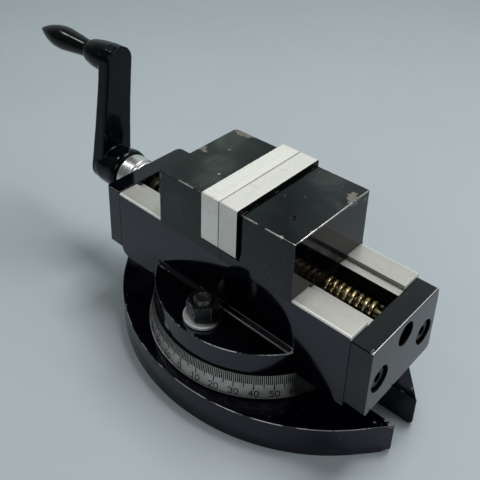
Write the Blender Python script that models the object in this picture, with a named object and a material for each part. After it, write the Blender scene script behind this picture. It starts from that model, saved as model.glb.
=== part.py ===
# Self-centring milling vise on a graduated swivel base.
# Metres, +Z up.  X runs along the screw (crank at -X), +Y is the rear side,
# the origin is the centre of the swivel base on the table.
import bpy
import bmesh
import math
from mathutils import Matrix, Vector

for ob in list(bpy.data.objects):
    bpy.data.objects.remove(ob, do_unlink=True)

MM = 0.001
GAP = 0.3                     # running gap between pieces that touch (mm)

# ---------------------------------------------------------------- dimensions
# swivel base
FLANGE_H = 22.0
FLANGE_HALF_W = 79.0          # half width across the bed
FLANGE_ARC_R = 133.2          # each long side is one arc of this radius
SLOT_HALF_W = 12.3            # open clamp slot at each end
SLOT_END_X = 97.0             # centre of the slot's round inner end
DRUM_R = 65.7
DRUM_TOP = 39.4
TSLOT_R = 53.0                # circle the two clamp bolts run on
TSLOT_NECK = 6.5
TSLOT_WIDE = 11.0
TSLOT_FLOOR = 7.0
TSLOT_ROOF = 19.0
PIVOT_R = 20.0
# graduated ring
RING_IN_R = 66.0
RING_FOOT_R = 73.7
RING_TOP_R = 70.4
RING_Z0 = 22.9
RING_Z1 = 39.1
# bed
BED_X0, BED_X1 = -98.0, 94.5
BED_HALF_W = 36.5
BED_Z0, WAY_Z = 40.0, 92.9
TURRET_Z0 = 39.7
TURRET_R = 69.1
TURRET_TOP = 55.0
WAY_IN = 19.9                 # inner edge of the ground ways
LEDGE_Z = 89.7
CHAN_HALF = 13.4
UNDER_HALF = 18.5             # undercut the keepers run in
UNDER_Z1 = 66.0
CHAN_FLOOR = 57.5
# screw
AXIS_Z = 79.5
LEAD = 4.4
THREAD_R = 8.0
ROOT_R = 5.9
# end plates
PLATE_TOP = 90.4
DRIVE_TOP = 93.5
DRIVE_X0 = -112.0
DRIVE_Z0 = 45.6
TAIL_X1 = 108.6
TAIL_Z0 = 43.0
PLATE_SCREW_Y = 24.5
PLATE_SCREW_Z = 63.5
# jaws
JAW_LEN = 39.6
JAW_HALF_W = 37.4
JAW_TOP = 133.3
PAD_T = 14.55                 # thickness of one hardened jaw plate
PAD_HALF_W = 40.0
PAD_Z0, PAD_Z1 = 99.0, 136.3
TRAVEL = 39.0                 # of each jaw
# crank
CRANK_R = 85.5
CRANK_TILT = math.radians(6.0)
ARM_X0, ARM_X1 = -157.2, -146.2
ARM_HALF_W = 12.2             # at the grip end; the arm grows wider towards the hub
ARM_FOOT_R = 15.5
# clamp nuts
NUT_AF = 18.0
NUT_H = 10.5
NUT_TURN = 43.5               # degrees, the nuts as they stand
WASHER_R = 13.2
WASHER_H = 2.6
STUD_TOP = 71.6


# ------------------------------------------------------------------ helpers
def material(name, rgb, rough, metal):
    m = bpy.data.materials.new(name)
    m.use_nodes = True
    b = m.node_tree.nodes["Principled BSDF"]
    b.inputs["Base Color"].default_value = (*rgb, 1.0)
    b.inputs["Roughness"].default_value = rough
    b.inputs["Metallic"].default_value = metal
    m.diffuse_color = (*rgb, 1.0)
    return m


BLACK = ((0.020, 0.022, 0.024), 0.22, 0.0)
GROUND = ((0.60, 0.59, 0.55), 0.32, 1.0)
SILVER = ((0.52, 0.51, 0.49), 0.36, 1.0)
OXIDE = ((0.035, 0.035, 0.038), 0.38, 0.8)
STEEL = ((0.42, 0.41, 0.39), 0.34, 1.0)
BRONZE = ((0.55, 0.36, 0.16), 0.35, 1.0)


def mesh_prism(pts, z0, z1, axes="XYZ"):
    """Closed prism: polygon (counter-clockwise) in the first two axes, drawn out along the third."""
    bm = bmesh.new()
    ia, ib, ic = ("XYZ".index(c) for c in axes)

    def put(a, b, c):
        v = [0.0, 0.0, 0.0]
        v[ia], v[ib], v[ic] = a, b, c
        return bm.verts.new(v)

    lo = [put(a, b, z0) for a, b in pts]
    hi = [put(a, b, z1) for a, b in pts]
    n = len(pts)
    bm.faces.new(lo[::-1])
    bm.faces.new(hi)
    for i in range(n):
        j = (i + 1) % n
        bm.faces.new((lo[i], lo[j], hi[j], hi[i]))
    bmesh.ops.recalc_face_normals(bm, faces=bm.faces)
    return bm


def mesh_lathe(profile, axis="Z", segs=48, centre=(0.0, 0.0, 0.0), start=0.0):
    """Closed turned piece: a closed loop of (radius, height); radius 0 lies on the axis."""
    bm = bmesh.new()
    rings = []
    for r, h in profile:
        if r < 1e-6:
            v = bm.verts.new(turn(0.0, 0.0, h, axis, centre))
            rings.append([v] * segs)
        else:
            rings.append([bm.verts.new(turn(r * math.cos(start + 2 * math.pi * k / segs),
                                            r * math.sin(start + 2 * math.pi * k / segs), h, axis, centre))
                          for k in range(segs)])
    n = len(profile)
    for i in range(n):
        a, b = rings[i], rings[(i + 1) % n]
        if a[0] is a[1] and b[0] is b[1]:
            continue
        for k in range(segs):
            j = (k + 1) % segs
            quad = []
            for v in (a[k], a[j], b[j], b[k]):
                if v not in quad:
                    quad.append(v)
            if len(quad) > 2:
                bm.faces.new(quad)
    bmesh.ops.recalc_face_normals(bm, faces=bm.faces)
    return bm


def turn(u, v, h, axis, centre):
    if axis == "Z":
        p = (u, v, h)
    elif axis == "X":
        p = (h, u, v)
    else:
        p = (v, h, u)
    return (p[0] + centre[0], p[1] + centre[1], p[2] + centre[2])


def cyl(r, h0, h1, axis="Z", centre=(0.0, 0.0, 0.0), segs=24):
    return mesh_lathe([(0, h0), (r, h0), (r, h1), (0, h1)], axis, segs, centre)


def box(x0, x1, y0, y1, z0, z1):
    return mesh_prism([(x0, y0), (x1, y0), (x1, y1), (x0, y1)], z0, z1)


def as_object(name, bm):
    me = bpy.data.meshes.new(name)
    bm.to_mesh(me)
    bm.free()
    ob = bpy.data.objects.new(name, me)
    bpy.context.scene.collection.objects.link(ob)
    return ob


def evaluated(ob):
    dg = bpy.context.evaluated_depsgraph_get()
    me = bpy.data.meshes.new_from_object(ob.evaluated_get(dg))
    ob.modifiers.clear()
    old = ob.data
    ob.data = me
    bpy.data.meshes.remove(old)


def chamfer(ob, width, angle=50.0, segs=1):
    md = ob.modifiers.new("edge", "BEVEL")
    md.width = width
    md.segments = segs
    md.limit_method = "ANGLE"
    md.angle_limit = math.radians(angle)
    md.use_clamp_overlap = True
    evaluated(ob)


def combine(ob, others, op):
    for bm in others:
        c = as_object("cut", bm) if not isinstance(bm, bpy.types.Object) else bm
        md = ob.modifiers.new("op", "BOOLEAN")
        md.operation = op
        md.solver = "EXACT"
        md.object = c
        evaluated(ob)
        bpy.data.objects.remove(c, do_unlink=True)


def cut(ob, others):
    combine(ob, others, "DIFFERENCE")


def join(ob, others):
    combine(ob, others, "UNION")


GROUPS = {}


def group(name, at):
    e = bpy.data.objects.new(name, None)
    e.empty_display_size = 0.01
    e.location = Vector(at) * MM
    bpy.context.scene.collection.objects.link(e)
    GROUPS[name] = e
    return e


def finish(ob, look, parent, origin, smooth=True):
    """Weld, turn to metres, set the origin and hand the piece to its group."""
    bm = bmesh.new()
    bm.from_mesh(ob.data)
    bmesh.ops.remove_doubles(bm, verts=bm.verts, dist=0.004)
    bmesh.ops.dissolve_degenerate(bm, edges=bm.edges, dist=0.002)
    bmesh.ops.dissolve_limit(bm, angle_limit=math.radians(0.2), verts=bm.verts, edges=bm.edges)
    bmesh.ops.triangulate(bm, faces=[f for f in bm.faces if len(f.verts) > 4])
    bmesh.ops.recalc_face_normals(bm, faces=bm.faces)
    for v in bm.verts:
        v.co = (v.co - Vector(origin)) * MM
    bm.to_mesh(ob.data)
    bm.free()
    ob.data.name = ob.name
    ob.data.materials.clear()
    ob.data.materials.append(material(ob.name + "_finish", *look))
    if smooth:
        ob.data.shade_smooth()
        ob.data.set_sharp_from_angle(angle=math.radians(28))
    g = GROUPS[parent]
    ob.parent = g
    ob.location = Vector(origin) * MM - g.location
    return ob


def arc(cx, cy, r, a0, a1, n):
    return [(cx + r * math.cos(math.radians(a0 + (a1 - a0) * i / n)),
             cy + r * math.sin(math.radians(a0 + (a1 - a0) * i / n))) for i in range(n + 1)]


def ring_profile(r_in, r_out, h0, h1, c=0.0):
    if c <= 0:
        return [(r_in, h0), (r_out, h0), (r_out, h1), (r_in, h1)]
    return [(r_in, h0), (r_out - c, h0), (r_out, h0 + c), (r_out, h1 - c), (r_out - c, h1), (r_in, h1)]


# --------------------------------------------------------------- body frames
group("base", (0, 0, 0))
group("bed", (0, 0, BED_Z0))
group("clamp_nut_front", (0, -TSLOT_R, TURRET_TOP))
group("clamp_nut_rear", (0, TSLOT_R, TURRET_TOP))
group("spindle", (0, 0, AXIS_Z))
GRIP_Y = CRANK_R * math.sin(CRANK_TILT)
GRIP_Z = AXIS_Z + CRANK_R * math.cos(CRANK_TILT)
group("handle", (0, GRIP_Y, GRIP_Z))
group("jaw_left", (0, 0, WAY_Z))
group("jaw_right", (0, 0, WAY_Z))

# --------------------------------------------------------------- swivel base
off = FLANGE_ARC_R - FLANGE_HALF_W


def side_arc(sign, n=24):
    """One long side of the flange, from -X to +X, stopping short of the slot mouths."""
    y_end = SLOT_HALF_W + 2.6
    x_end = math.sqrt(FLANGE_ARC_R ** 2 - (off + y_end) ** 2)
    a = math.asin(x_end / FLANGE_ARC_R)
    out = []
    for i in range(n + 1):
        t = -a + 2 * a * i / n
        out.append((FLANGE_ARC_R * math.sin(t), sign * (FLANGE_ARC_R * math.cos(t) - off)))
    return out


mouth_x = math.sqrt(FLANGE_ARC_R ** 2 - (off + SLOT_HALF_W) ** 2)
lip = [(mouth_x - 0.2, SLOT_HALF_W + 1.1), (mouth_x - 1.1, SLOT_HALF_W + 0.25), (mouth_x - 2.8, SLOT_HALF_W)]
outline = side_arc(-1)
outline += [(x, -y) for x, y in lip]
outline += [(x, y) for x, y in arc(SLOT_END_X, 0, SLOT_HALF_W, -90, -270, 12)]
outline += [(x, y) for x, y in lip[::-1]]
outline += side_arc(1)[::-1]
outline += [(-x, y) for x, y in lip]
outline += [(x, y) for x, y in arc(-SLOT_END_X, 0, SLOT_HALF_W, 90, -90, 12)]
outline += [(-x, -y) for x, y in lip[::-1]]
base = as_object("swivel_base", mesh_prism(outline, 0.0, FLANGE_H))
chamfer(base, 0.9, 60.0)
join(base, [cyl(DRUM_R, 8.0, DRUM_TOP, segs=60)])
cut(base, [mesh_lathe([(TSLOT_R - TSLOT_NECK, DRUM_TOP + 2), (TSLOT_R - TSLOT_NECK, TSLOT_ROOF),
                       (TSLOT_R - TSLOT_WIDE, TSLOT_ROOF), (TSLOT_R - TSLOT_WIDE, TSLOT_FLOOR),
                       (TSLOT_R + TSLOT_WIDE, TSLOT_FLOOR), (TSLOT_R + TSLOT_WIDE, TSLOT_ROOF),
                       (TSLOT_R + TSLOT_NECK, TSLOT_ROOF), (TSLOT_R + TSLOT_NECK, DRUM_TOP + 2)], segs=48),
           box(TSLOT_R - 9.8, TSLOT_R + 9.8, -9.8, 9.8, TSLOT_ROOF - 2, DRUM_TOP + 2),   # where the bolt heads go in
           cyl(PIVOT_R + GAP, 6.0, DRUM_TOP + 2, segs=40)])
finish(base, BLACK, "base", (0, 0, 0))

ring = as_object("graduated_ring", mesh_lathe(
    [(RING_IN_R, RING_Z0), (RING_FOOT_R - 0.4, RING_Z0), (RING_FOOT_R, RING_Z0 + 0.5), (RING_TOP_R + 0.1, RING_Z1 - 0.4),
     (RING_TOP_R - 0.4, RING_Z1), (RING_IN_R, RING_Z1)], segs=60))
finish(ring, SILVER, "base", (0, 0, 0))

# ----------------------------------------------------------------------- bed
def bed_section(z0):
    return [(-BED_HALF_W, z0), (BED_HALF_W, z0), (BED_HALF_W, WAY_Z - 0.4), (BED_HALF_W - 0.4, WAY_Z),
            (WAY_IN, WAY_Z), (WAY_IN, LEDGE_Z), (CHAN_HALF, LEDGE_Z), (CHAN_HALF, UNDER_Z1),
            (UNDER_HALF, UNDER_Z1), (UNDER_HALF, CHAN_FLOOR), (-UNDER_HALF, CHAN_FLOOR), (-UNDER_HALF, UNDER_Z1),
            (-CHAN_HALF, UNDER_Z1), (-CHAN_HALF, LEDGE_Z), (-WAY_IN, LEDGE_Z), (-WAY_IN, WAY_Z),
            (-BED_HALF_W + 0.4, WAY_Z), (-BED_HALF_W, WAY_Z - 0.4)]


bm = bmesh.new()
loops = []
for x, z0 in ((BED_X0, BED_Z0 + 6.0), (BED_X0 + 1.6, BED_Z0 + 2.2), (BED_X0 + 5.0, BED_Z0), (BED_X1, BED_Z0)):
    loops.append([bm.verts.new((x, y, z)) for y, z in bed_section(z0)])
for a, b in zip(loops, loops[1:]):
    for i in range(len(a)):
        j = (i + 1) % len(a)
        bm.faces.new((a[i], a[j], b[j], b[i]))
bm.faces.new(loops[0])
bm.faces.new(loops[-1][::-1])
bmesh.ops.recalc_face_normals(bm, faces=bm.faces)
bed = as_object("vise_bed", bm)
join(bed, [mesh_lathe([(0, TURRET_Z0), (TURRET_R - 0.6, TURRET_Z0), (TURRET_R, TURRET_Z0 + 0.6), (TURRET_R, TURRET_TOP - 0.7),
                       (TURRET_R - 0.7, TURRET_TOP), (0, TURRET_TOP)], segs=60),
           cyl(PIVOT_R, 14.0, BED_Z0 + 4.0, segs=40)])
holes = [cyl(6.4, BED_Z0 - 3, TURRET_TOP + 3, centre=(0, s * TSLOT_R, 0), segs=22) for s in (-1, 1)]
holes += [cyl(4.25, BED_X1 - 15, BED_X1 + 2, "X", (0, s * PLATE_SCREW_Y, PLATE_SCREW_Z), 16) for s in (-1, 1)]
holes += [cyl(4.25, BED_X0 - 2, BED_X0 + 15, "X", (0, s * PLATE_SCREW_Y, PLATE_SCREW_Z), 16) for s in (-1, 1)]
holes += [cyl(1.8, 79.0, LEDGE_Z + 2, centre=(0, s * 16.2, 0), segs=12) for s in (-1, 1)]
cut(bed, holes)
finish(bed, BLACK, "bed", (0, 0, BED_Z0))

# ---------------------------------------------------------------- end plates
rb, rf = 4.5, 2.5
plan = arc(DRIVE_X0 + rb, BED_HALF_W - rb, rb, 90, 180, 5) + arc(DRIVE_X0 + rf, -BED_HALF_W + rf, rf, 180, 270, 4)
plan += [(BED_X0 - GAP, -BED_HALF_W), (BED_X0 - GAP, BED_HALF_W)]
drive = as_object("drive_plate", mesh_prism(plan, DRIVE_Z0, DRIVE_TOP))
chamfer(drive, 0.6, 60.0)
cut(drive, [cyl(11.0, DRIVE_X0 - 2, BED_X0 + 2, "X", (0, 0, AXIS_Z), 28)] +
    [mesh_lathe([(0, DRIVE_X0 - 2), (7.0, DRIVE_X0 - 2), (7.0, DRIVE_X0 + 8.4), (4.3, DRIVE_X0 + 8.4), (4.3, BED_X0 + 2),
                 (0, BED_X0 + 2)], "X", 20, (0, s * PLATE_SCREW_Y, PLATE_SCREW_Z)) for s in (-1, 1)])
finish(drive, BLACK, "bed", (DRIVE_X0, 0, AXIS_Z))

w = BED_HALF_W
face = [(-w + 1.0, TAIL_Z0), (w - 1.6, TAIL_Z0), (w, TAIL_Z0 + 1.8), (w, PLATE_TOP), (-w, PLATE_TOP), (-w, TAIL_Z0 + 1.0)]
tail = as_object("tail_plate", mesh_prism(face, BED_X1 + GAP, TAIL_X1, "YZX"))
chamfer(tail, 0.6, 40.0)
cut(tail, [cyl(7.5, BED_X1 - 2, TAIL_X1 + 2, "X", (0, 0, AXIS_Z), 28)] +
    [mesh_lathe([(0, TAIL_X1 + 2), (8.3, TAIL_X1 + 2), (8.3, TAIL_X1 - 9.0), (4.3, TAIL_X1 - 9.0), (4.3, BED_X1 - 2),
                 (0, BED_X1 - 2)], "X", 24, (0, s * PLATE_SCREW_Y, PLATE_SCREW_Z)) for s in (-1, 1)])
finish(tail, BLACK, "bed", (TAIL_X1, 0, AXIS_Z))

# plain bearings of the screw, one in each end plate
bush = as_object("drive_bush", mesh_lathe(ring_profile(8.9, 10.7, DRIVE_X0 + 0.2, BED_X0 - 0.4), "X", 28, (0, 0, AXIS_Z)))
finish(bush, BRONZE, "bed", (DRIVE_X0, 0, AXIS_Z))
bush = as_object("tail_bush", mesh_lathe(ring_profile(5.8, 7.2, BED_X1 + 0.5, TAIL_X1 - 4.0), "X", 28, (0, 0, AXIS_Z)))
finish(bush, BRONZE, "bed", (TAIL_X1, 0, AXIS_Z))


def cap_screw(name, look, parent, at, axis, direction, head_r, head_h, shank_r, length, segs=16, socket=True):
    """Socket head screw; `at` is the seat under the head, `direction` (+1/-1) is where the head lies."""
    d = direction
    ax = {"X": 0, "Y": 1, "Z": 2}[axis]
    c = list(at)
    c[ax] = 0.0
    o = at[ax]
    prof = [(0, o + d * head_h), (head_r - 0.5, o + d * head_h), (head_r, o + d * (head_h - 0.5)), (head_r, o + d * GAP),
            (shank_r, o + d * GAP), (shank_r, o - d * length), (0, o - d * length)]
    ob = as_object(name, mesh_lathe(prof, axis, segs, tuple(c)))
    if socket:
        k = head_r * 0.52
        cut(ob, [mesh_lathe([(0, o + d * (head_h + 1)), (k, o + d * (head_h + 1)), (k, o + d * head_h * 0.45),
                             (0, o + d * head_h * 0.45)], axis, 6, tuple(c))])
    return finish(ob, look, parent, at)


for i, s in enumerate((-1, 1), 1):
    cap_screw("tail_plate_screw_%d" % i, OXIDE, "bed", (TAIL_X1 - 9.0, s * PLATE_SCREW_Y, PLATE_SCREW_Z), "X", 1, 6.5, 7.6, 4.0, 18.0)
    cap_screw("drive_plate_screw_%d" % i, OXIDE, "bed", (DRIVE_X0 + 8.4, s * PLATE_SCREW_Y, PLATE_SCREW_Z), "X", -1, 6.5, 7.6, 4.0, 17.0)

# centre yoke that holds the screw in place lengthwise
yoke = as_object("centre_yoke", mesh_prism(
    [(-13.1, 69.0), (-6.3, 69.0), (-6.3, AXIS_Z)] + arc(0, AXIS_Z, 6.3, 180, 0, 10)[1:-1] +
    [(6.3, AXIS_Z), (6.3, 69.0), (13.1, 69.0), (13.1, LEDGE_Z + GAP), (19.6, LEDGE_Z + GAP), (19.6, 92.6), (-19.6, 92.6),
     (-19.6, LEDGE_Z + GAP), (-13.1, LEDGE_Z + GAP)], -8.0, 8.0, "YZX"))
cut(yoke, [mesh_lathe([(0, 88.0), (1.8, 88.0), (1.8, 91.3), (3.2, 92.7), (3.2, 94.0), (0, 94.0)], "Z", 16, (0, s * 16.2, 0))
           for s in (-1, 1)])
finish(yoke, STEEL, "bed", (0, 0, AXIS_Z))
for i, s in enumerate((-1, 1), 1):
    ys = as_object("yoke_screw_%d" % i, mesh_lathe([(0, 92.4), (2.7, 92.4), (2.7, 92.3), (1.5, 91.1), (1.5, 80.0), (0, 80.0)],
                                                   "Z", 12, (0, s * 16.2, 0)))
    cut(ys, [mesh_lathe([(0, 91.2), (1.1, 91.2), (1.1, 93.0), (0, 93.0)], "Z", 6, (0, s * 16.2, 0))])
    finish(ys, OXIDE, "bed", (0, s * 16.2, 92.0))

# ------------------------------------------------------- clamp bolts and nuts
for tag, s in (("front", -1), ("rear", 1)):
    y = s * TSLOT_R
    tb = as_object("t_bolt_" + tag, box(-9.0, 9.0, y - 9.0, y + 9.0, 10.6, TSLOT_ROOF - GAP))
    join(tb, [mesh_lathe([(0, 14.0), (6.0, 14.0), (6.0, STUD_TOP - 1.0), (5.0, STUD_TOP), (0, STUD_TOP)], "Z", 20, (0, y, 0))])
    finish(tb, OXIDE, "bed", (0, y, TURRET_TOP))
    wz = TURRET_TOP + GAP
    wa = as_object("washer_" + tag, mesh_lathe(ring_profile(6.4, WASHER_R, wz, wz + WASHER_H), "Z", 32, (0, y, 0)))
    finish(wa, SILVER, "bed", (0, y, wz))
    nz = wz + WASHER_H + 0.1
    ac = NUT_AF / math.sqrt(3)
    nut = as_object("clamp_nut_%s_hex" % tag, mesh_lathe([(0, nz), (ac, nz), (ac, nz + NUT_H), (0, nz + NUT_H)], "Z", 6,
                                                         (0, y, 0), math.radians(NUT_TURN)))
    combine(nut, [mesh_lathe([(0, nz - 1), (ac + 3.0, nz - 1), (ac + 3.0, nz + NUT_H - 3.2), (ac - 1.0, nz + NUT_H - 0.9),
                              (ac - 2.2, nz + NUT_H + 0.001), (0, nz + NUT_H + 0.001)], "Z", 24, (0, y, 0))], "INTERSECT")
    cut(nut, [mesh_lathe([(0, nz - 1), (6.25, nz - 1), (6.25, nz + NUT_H - 0.8), (7.2, nz + NUT_H + 0.2),
                          (7.2, nz + NUT_H + 2), (0, nz + NUT_H + 2)], "Z", 24, (0, y, 0))])
    finish(nut, OXIDE, "clamp_nut_" + tag, (0, y, TURRET_TOP))

# --------------------------------------------------------------------- screw
SEG = 12


def threaded(bm, x0, turns, hand):
    """Helical thread surface on the X axis: one column of points per angle, each column LEAD/SEG further along."""
    form = [(0.0, ROOT_R), (0.26, ROOT_R), (0.40, THREAD_R), (0.86, THREAD_R)]
    p = len(form)
    rows = turns * p + 1
    cols = []
    for k in range(SEG):
        a = hand * 2 * math.pi * k / SEG
        col = []
        for j in range(rows):
            f, r = form[j % p]
            x = x0 + LEAD * (j // p + f + k / SEG)
            col.append(bm.verts.new((x, r * math.sin(a), AXIS_Z + r * math.cos(a))))
        cols.append(col)
    for k in range(SEG):
        shift = p if k == SEG - 1 else 0      # at the seam the last column meets the first, one lead on
        a, b = cols[k], cols[(k + 1) % SEG]
        for j in range(rows - 1 - shift):
            bm.faces.new((a[j], a[j + 1], b[j + 1 + shift], b[j + shift]))
    return cols, p, rows


def journal(bm, prof):
    rings = []
    for x, r in prof:
        rings.append([bm.verts.new((x, r * math.sin(2 * math.pi * k / SEG), AXIS_Z + r * math.cos(2 * math.pi * k / SEG)))
                      for k in range(SEG)])
    for a, b in zip(rings, rings[1:]):
        for k in range(SEG):
            j = (k + 1) % SEG
            bm.faces.new((a[k], a[j], b[j], b[k]))
    return rings


def screw_half(bm, x0, turns, hand, ring_lo, ring_hi):
    """One threaded length between two plain rings, closed at both ends."""
    cols, p, rows = threaded(bm, x0, turns, hand)
    lo = [ring_lo[(hand * k) % SEG] for k in range(SEG)]
    hi = [ring_hi[(hand * k) % SEG] for k in range(SEG)]
    top = rows - 1
    last = cols[SEG - 1]
    for k in range(SEG - 1):
        bm.faces.new((lo[k], lo[k + 1], cols[k + 1][0], cols[k][0]))
        bm.faces.new((hi[k], hi[k + 1], cols[k + 1][top], cols[k][top]))
    bm.faces.new((lo[SEG - 1], lo[0], cols[0][p], last[0]))
    bm.faces.new([lo[0]] + [cols[0][j] for j in range(p + 1)])
    bm.faces.new((hi[SEG - 1], hi[0], cols[0][top], last[top - p]))
    bm.faces.new([hi[SEG - 1]] + [last[j] for j in range(top - p, top + 1)])


bm = bmesh.new()
NECK = ROOT_R - 0.35
left_rings = journal(bm, [(-148.0, 6.2), (-147.2, 7.0), (-110.7, 7.0), (-110.7, 8.6), (-97.4, 8.6), (-97.4, NECK), (-96.6, NECK)])
mid_rings = journal(bm, [(-13.1, NECK), (-12.4, NECK), (-12.4, 10.4), (-8.4, 10.4), (-8.4, 6.0), (8.4, 6.0), (8.4, 10.4),
                         (12.4, 10.4), (12.4, NECK), (13.1, NECK)])
right_rings = journal(bm, [(92.9, NECK), (94.0, NECK), (94.0, 5.4), (103.4, 5.4), (104.2, 4.6)])
bm.faces.new(left_rings[0][::-1])
bm.faces.new(right_rings[-1])
turns = 17
screw_half(bm, -96.2, turns, 1, left_rings[-1], mid_rings[0])
screw_half(bm, 13.5, turns - 1, -1, mid_rings[-1], right_rings[0])
bmesh.ops.triangulate(bm, faces=bm.faces)
bmesh.ops.recalc_face_normals(bm, faces=bm.faces)
lead = as_object("lead_screw", bm)
finish(lead, STEEL, "spindle", (0, 0, AXIS_Z))

collar = as_object("thrust_collar", mesh_lathe(
    [(7.3, -127.8), (14.9, -127.8), (15.5, -127.2), (15.5, -115.6), (15.0, -115.1), (13.6, -115.1), (13.6, -112.7),
     (13.2, -112.3), (7.3, -112.3)], "X", 32, (0, 0, AXIS_Z)))
finish(collar, GROUND, "spindle", (-120.0, 0, AXIS_Z))

# --------------------------------------------------------------------- crank
def tilted(bm):
    bmesh.ops.transform(bm, matrix=Matrix.Translation((0, 0, AXIS_Z)) @ Matrix.Rotation(-CRANK_TILT, 4, "X") @
                        Matrix.Translation((0, 0, -AXIS_Z)), verts=bm.verts)
    return bm


top_z = AXIS_Z + CRANK_R
bar = arc(0.4, top_z, ARM_HALF_W, 0, 180, 12) + arc(0, AXIS_Z, ARM_FOOT_R, 180, 360, 14)
arm = as_object("crank_arm", tilted(mesh_prism(bar, ARM_X0, ARM_X1, "YZX")))
chamfer(arm, 2.2, 50.0)
join(arm, [tilted(mesh_lathe([(0, -153.0), (13.8, -153.0), (13.8, -147.0), (14.4, -145.0), (15.8, -141.0), (17.0, -136.5), (17.6, -132.5),
                              (17.2, -129.8), (16.0, -128.2), (0, -128.2)], "X", 28, (0, 0, AXIS_Z))),
           tilted(mesh_lathe([(0, -152.0), (11.8, -152.0), (11.7, -162.0), (11.3, -168.0), (10.4, -174.0), (9.0, -179.0), (7.4, -181.6),
                              (0, -181.6)], "X", 24, (0, 0, top_z)))])
cut(arm, [cyl(7.25, -148.4, -126.0, "X", (0, 0, AXIS_Z), 24),
          tilted(cyl(4.3, -186.0, -162.0, "X", (0, 0, top_z), 20)),
          tilted(cyl(2.7, AXIS_Z + 7.0, AXIS_Z + 24.0, "Z", (-137.5, 0, 0), 14))])
finish(arm, BLACK, "spindle", (-150.0, 0, AXIS_Z))
sset = as_object("crank_set_screw", tilted(cyl(2.4, AXIS_Z + 7.2, AXIS_Z + 14.5, "Z", (-137.5, 0, 0), 12)))
finish(sset, OXIDE, "spindle", (-137.5, 0, AXIS_Z))
spin = as_object("grip_spindle", tilted(mesh_lathe(
    [(0, -162.4), (4.0, -162.4), (4.0, -232.0), (0, -232.0)], "X", 20, (0, 0, top_z))))
finish(spin, STEEL, "spindle", (-182.0, GRIP_Y, GRIP_Z))
grip = as_object("grip_handle", tilted(mesh_lathe(
    [(4.3, -182.0), (6.3, -182.0), (6.9, -184.5), (7.5, -192.0), (8.4, -201.0), (9.2, -208.5), (9.5, -215.0), (9.2, -220.0),
     (8.3, -225.5), (6.9, -231.0), (5.2, -236.2), (3.4, -240.8), (1.7, -244.3), (0.7, -245.6), (0, -245.7), (0, -232.5), (4.3, -232.5)],
    "X", 20, (0, 0, top_z))))
finish(grip, BLACK, "handle", (-182.0, GRIP_Y, GRIP_Z))

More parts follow.
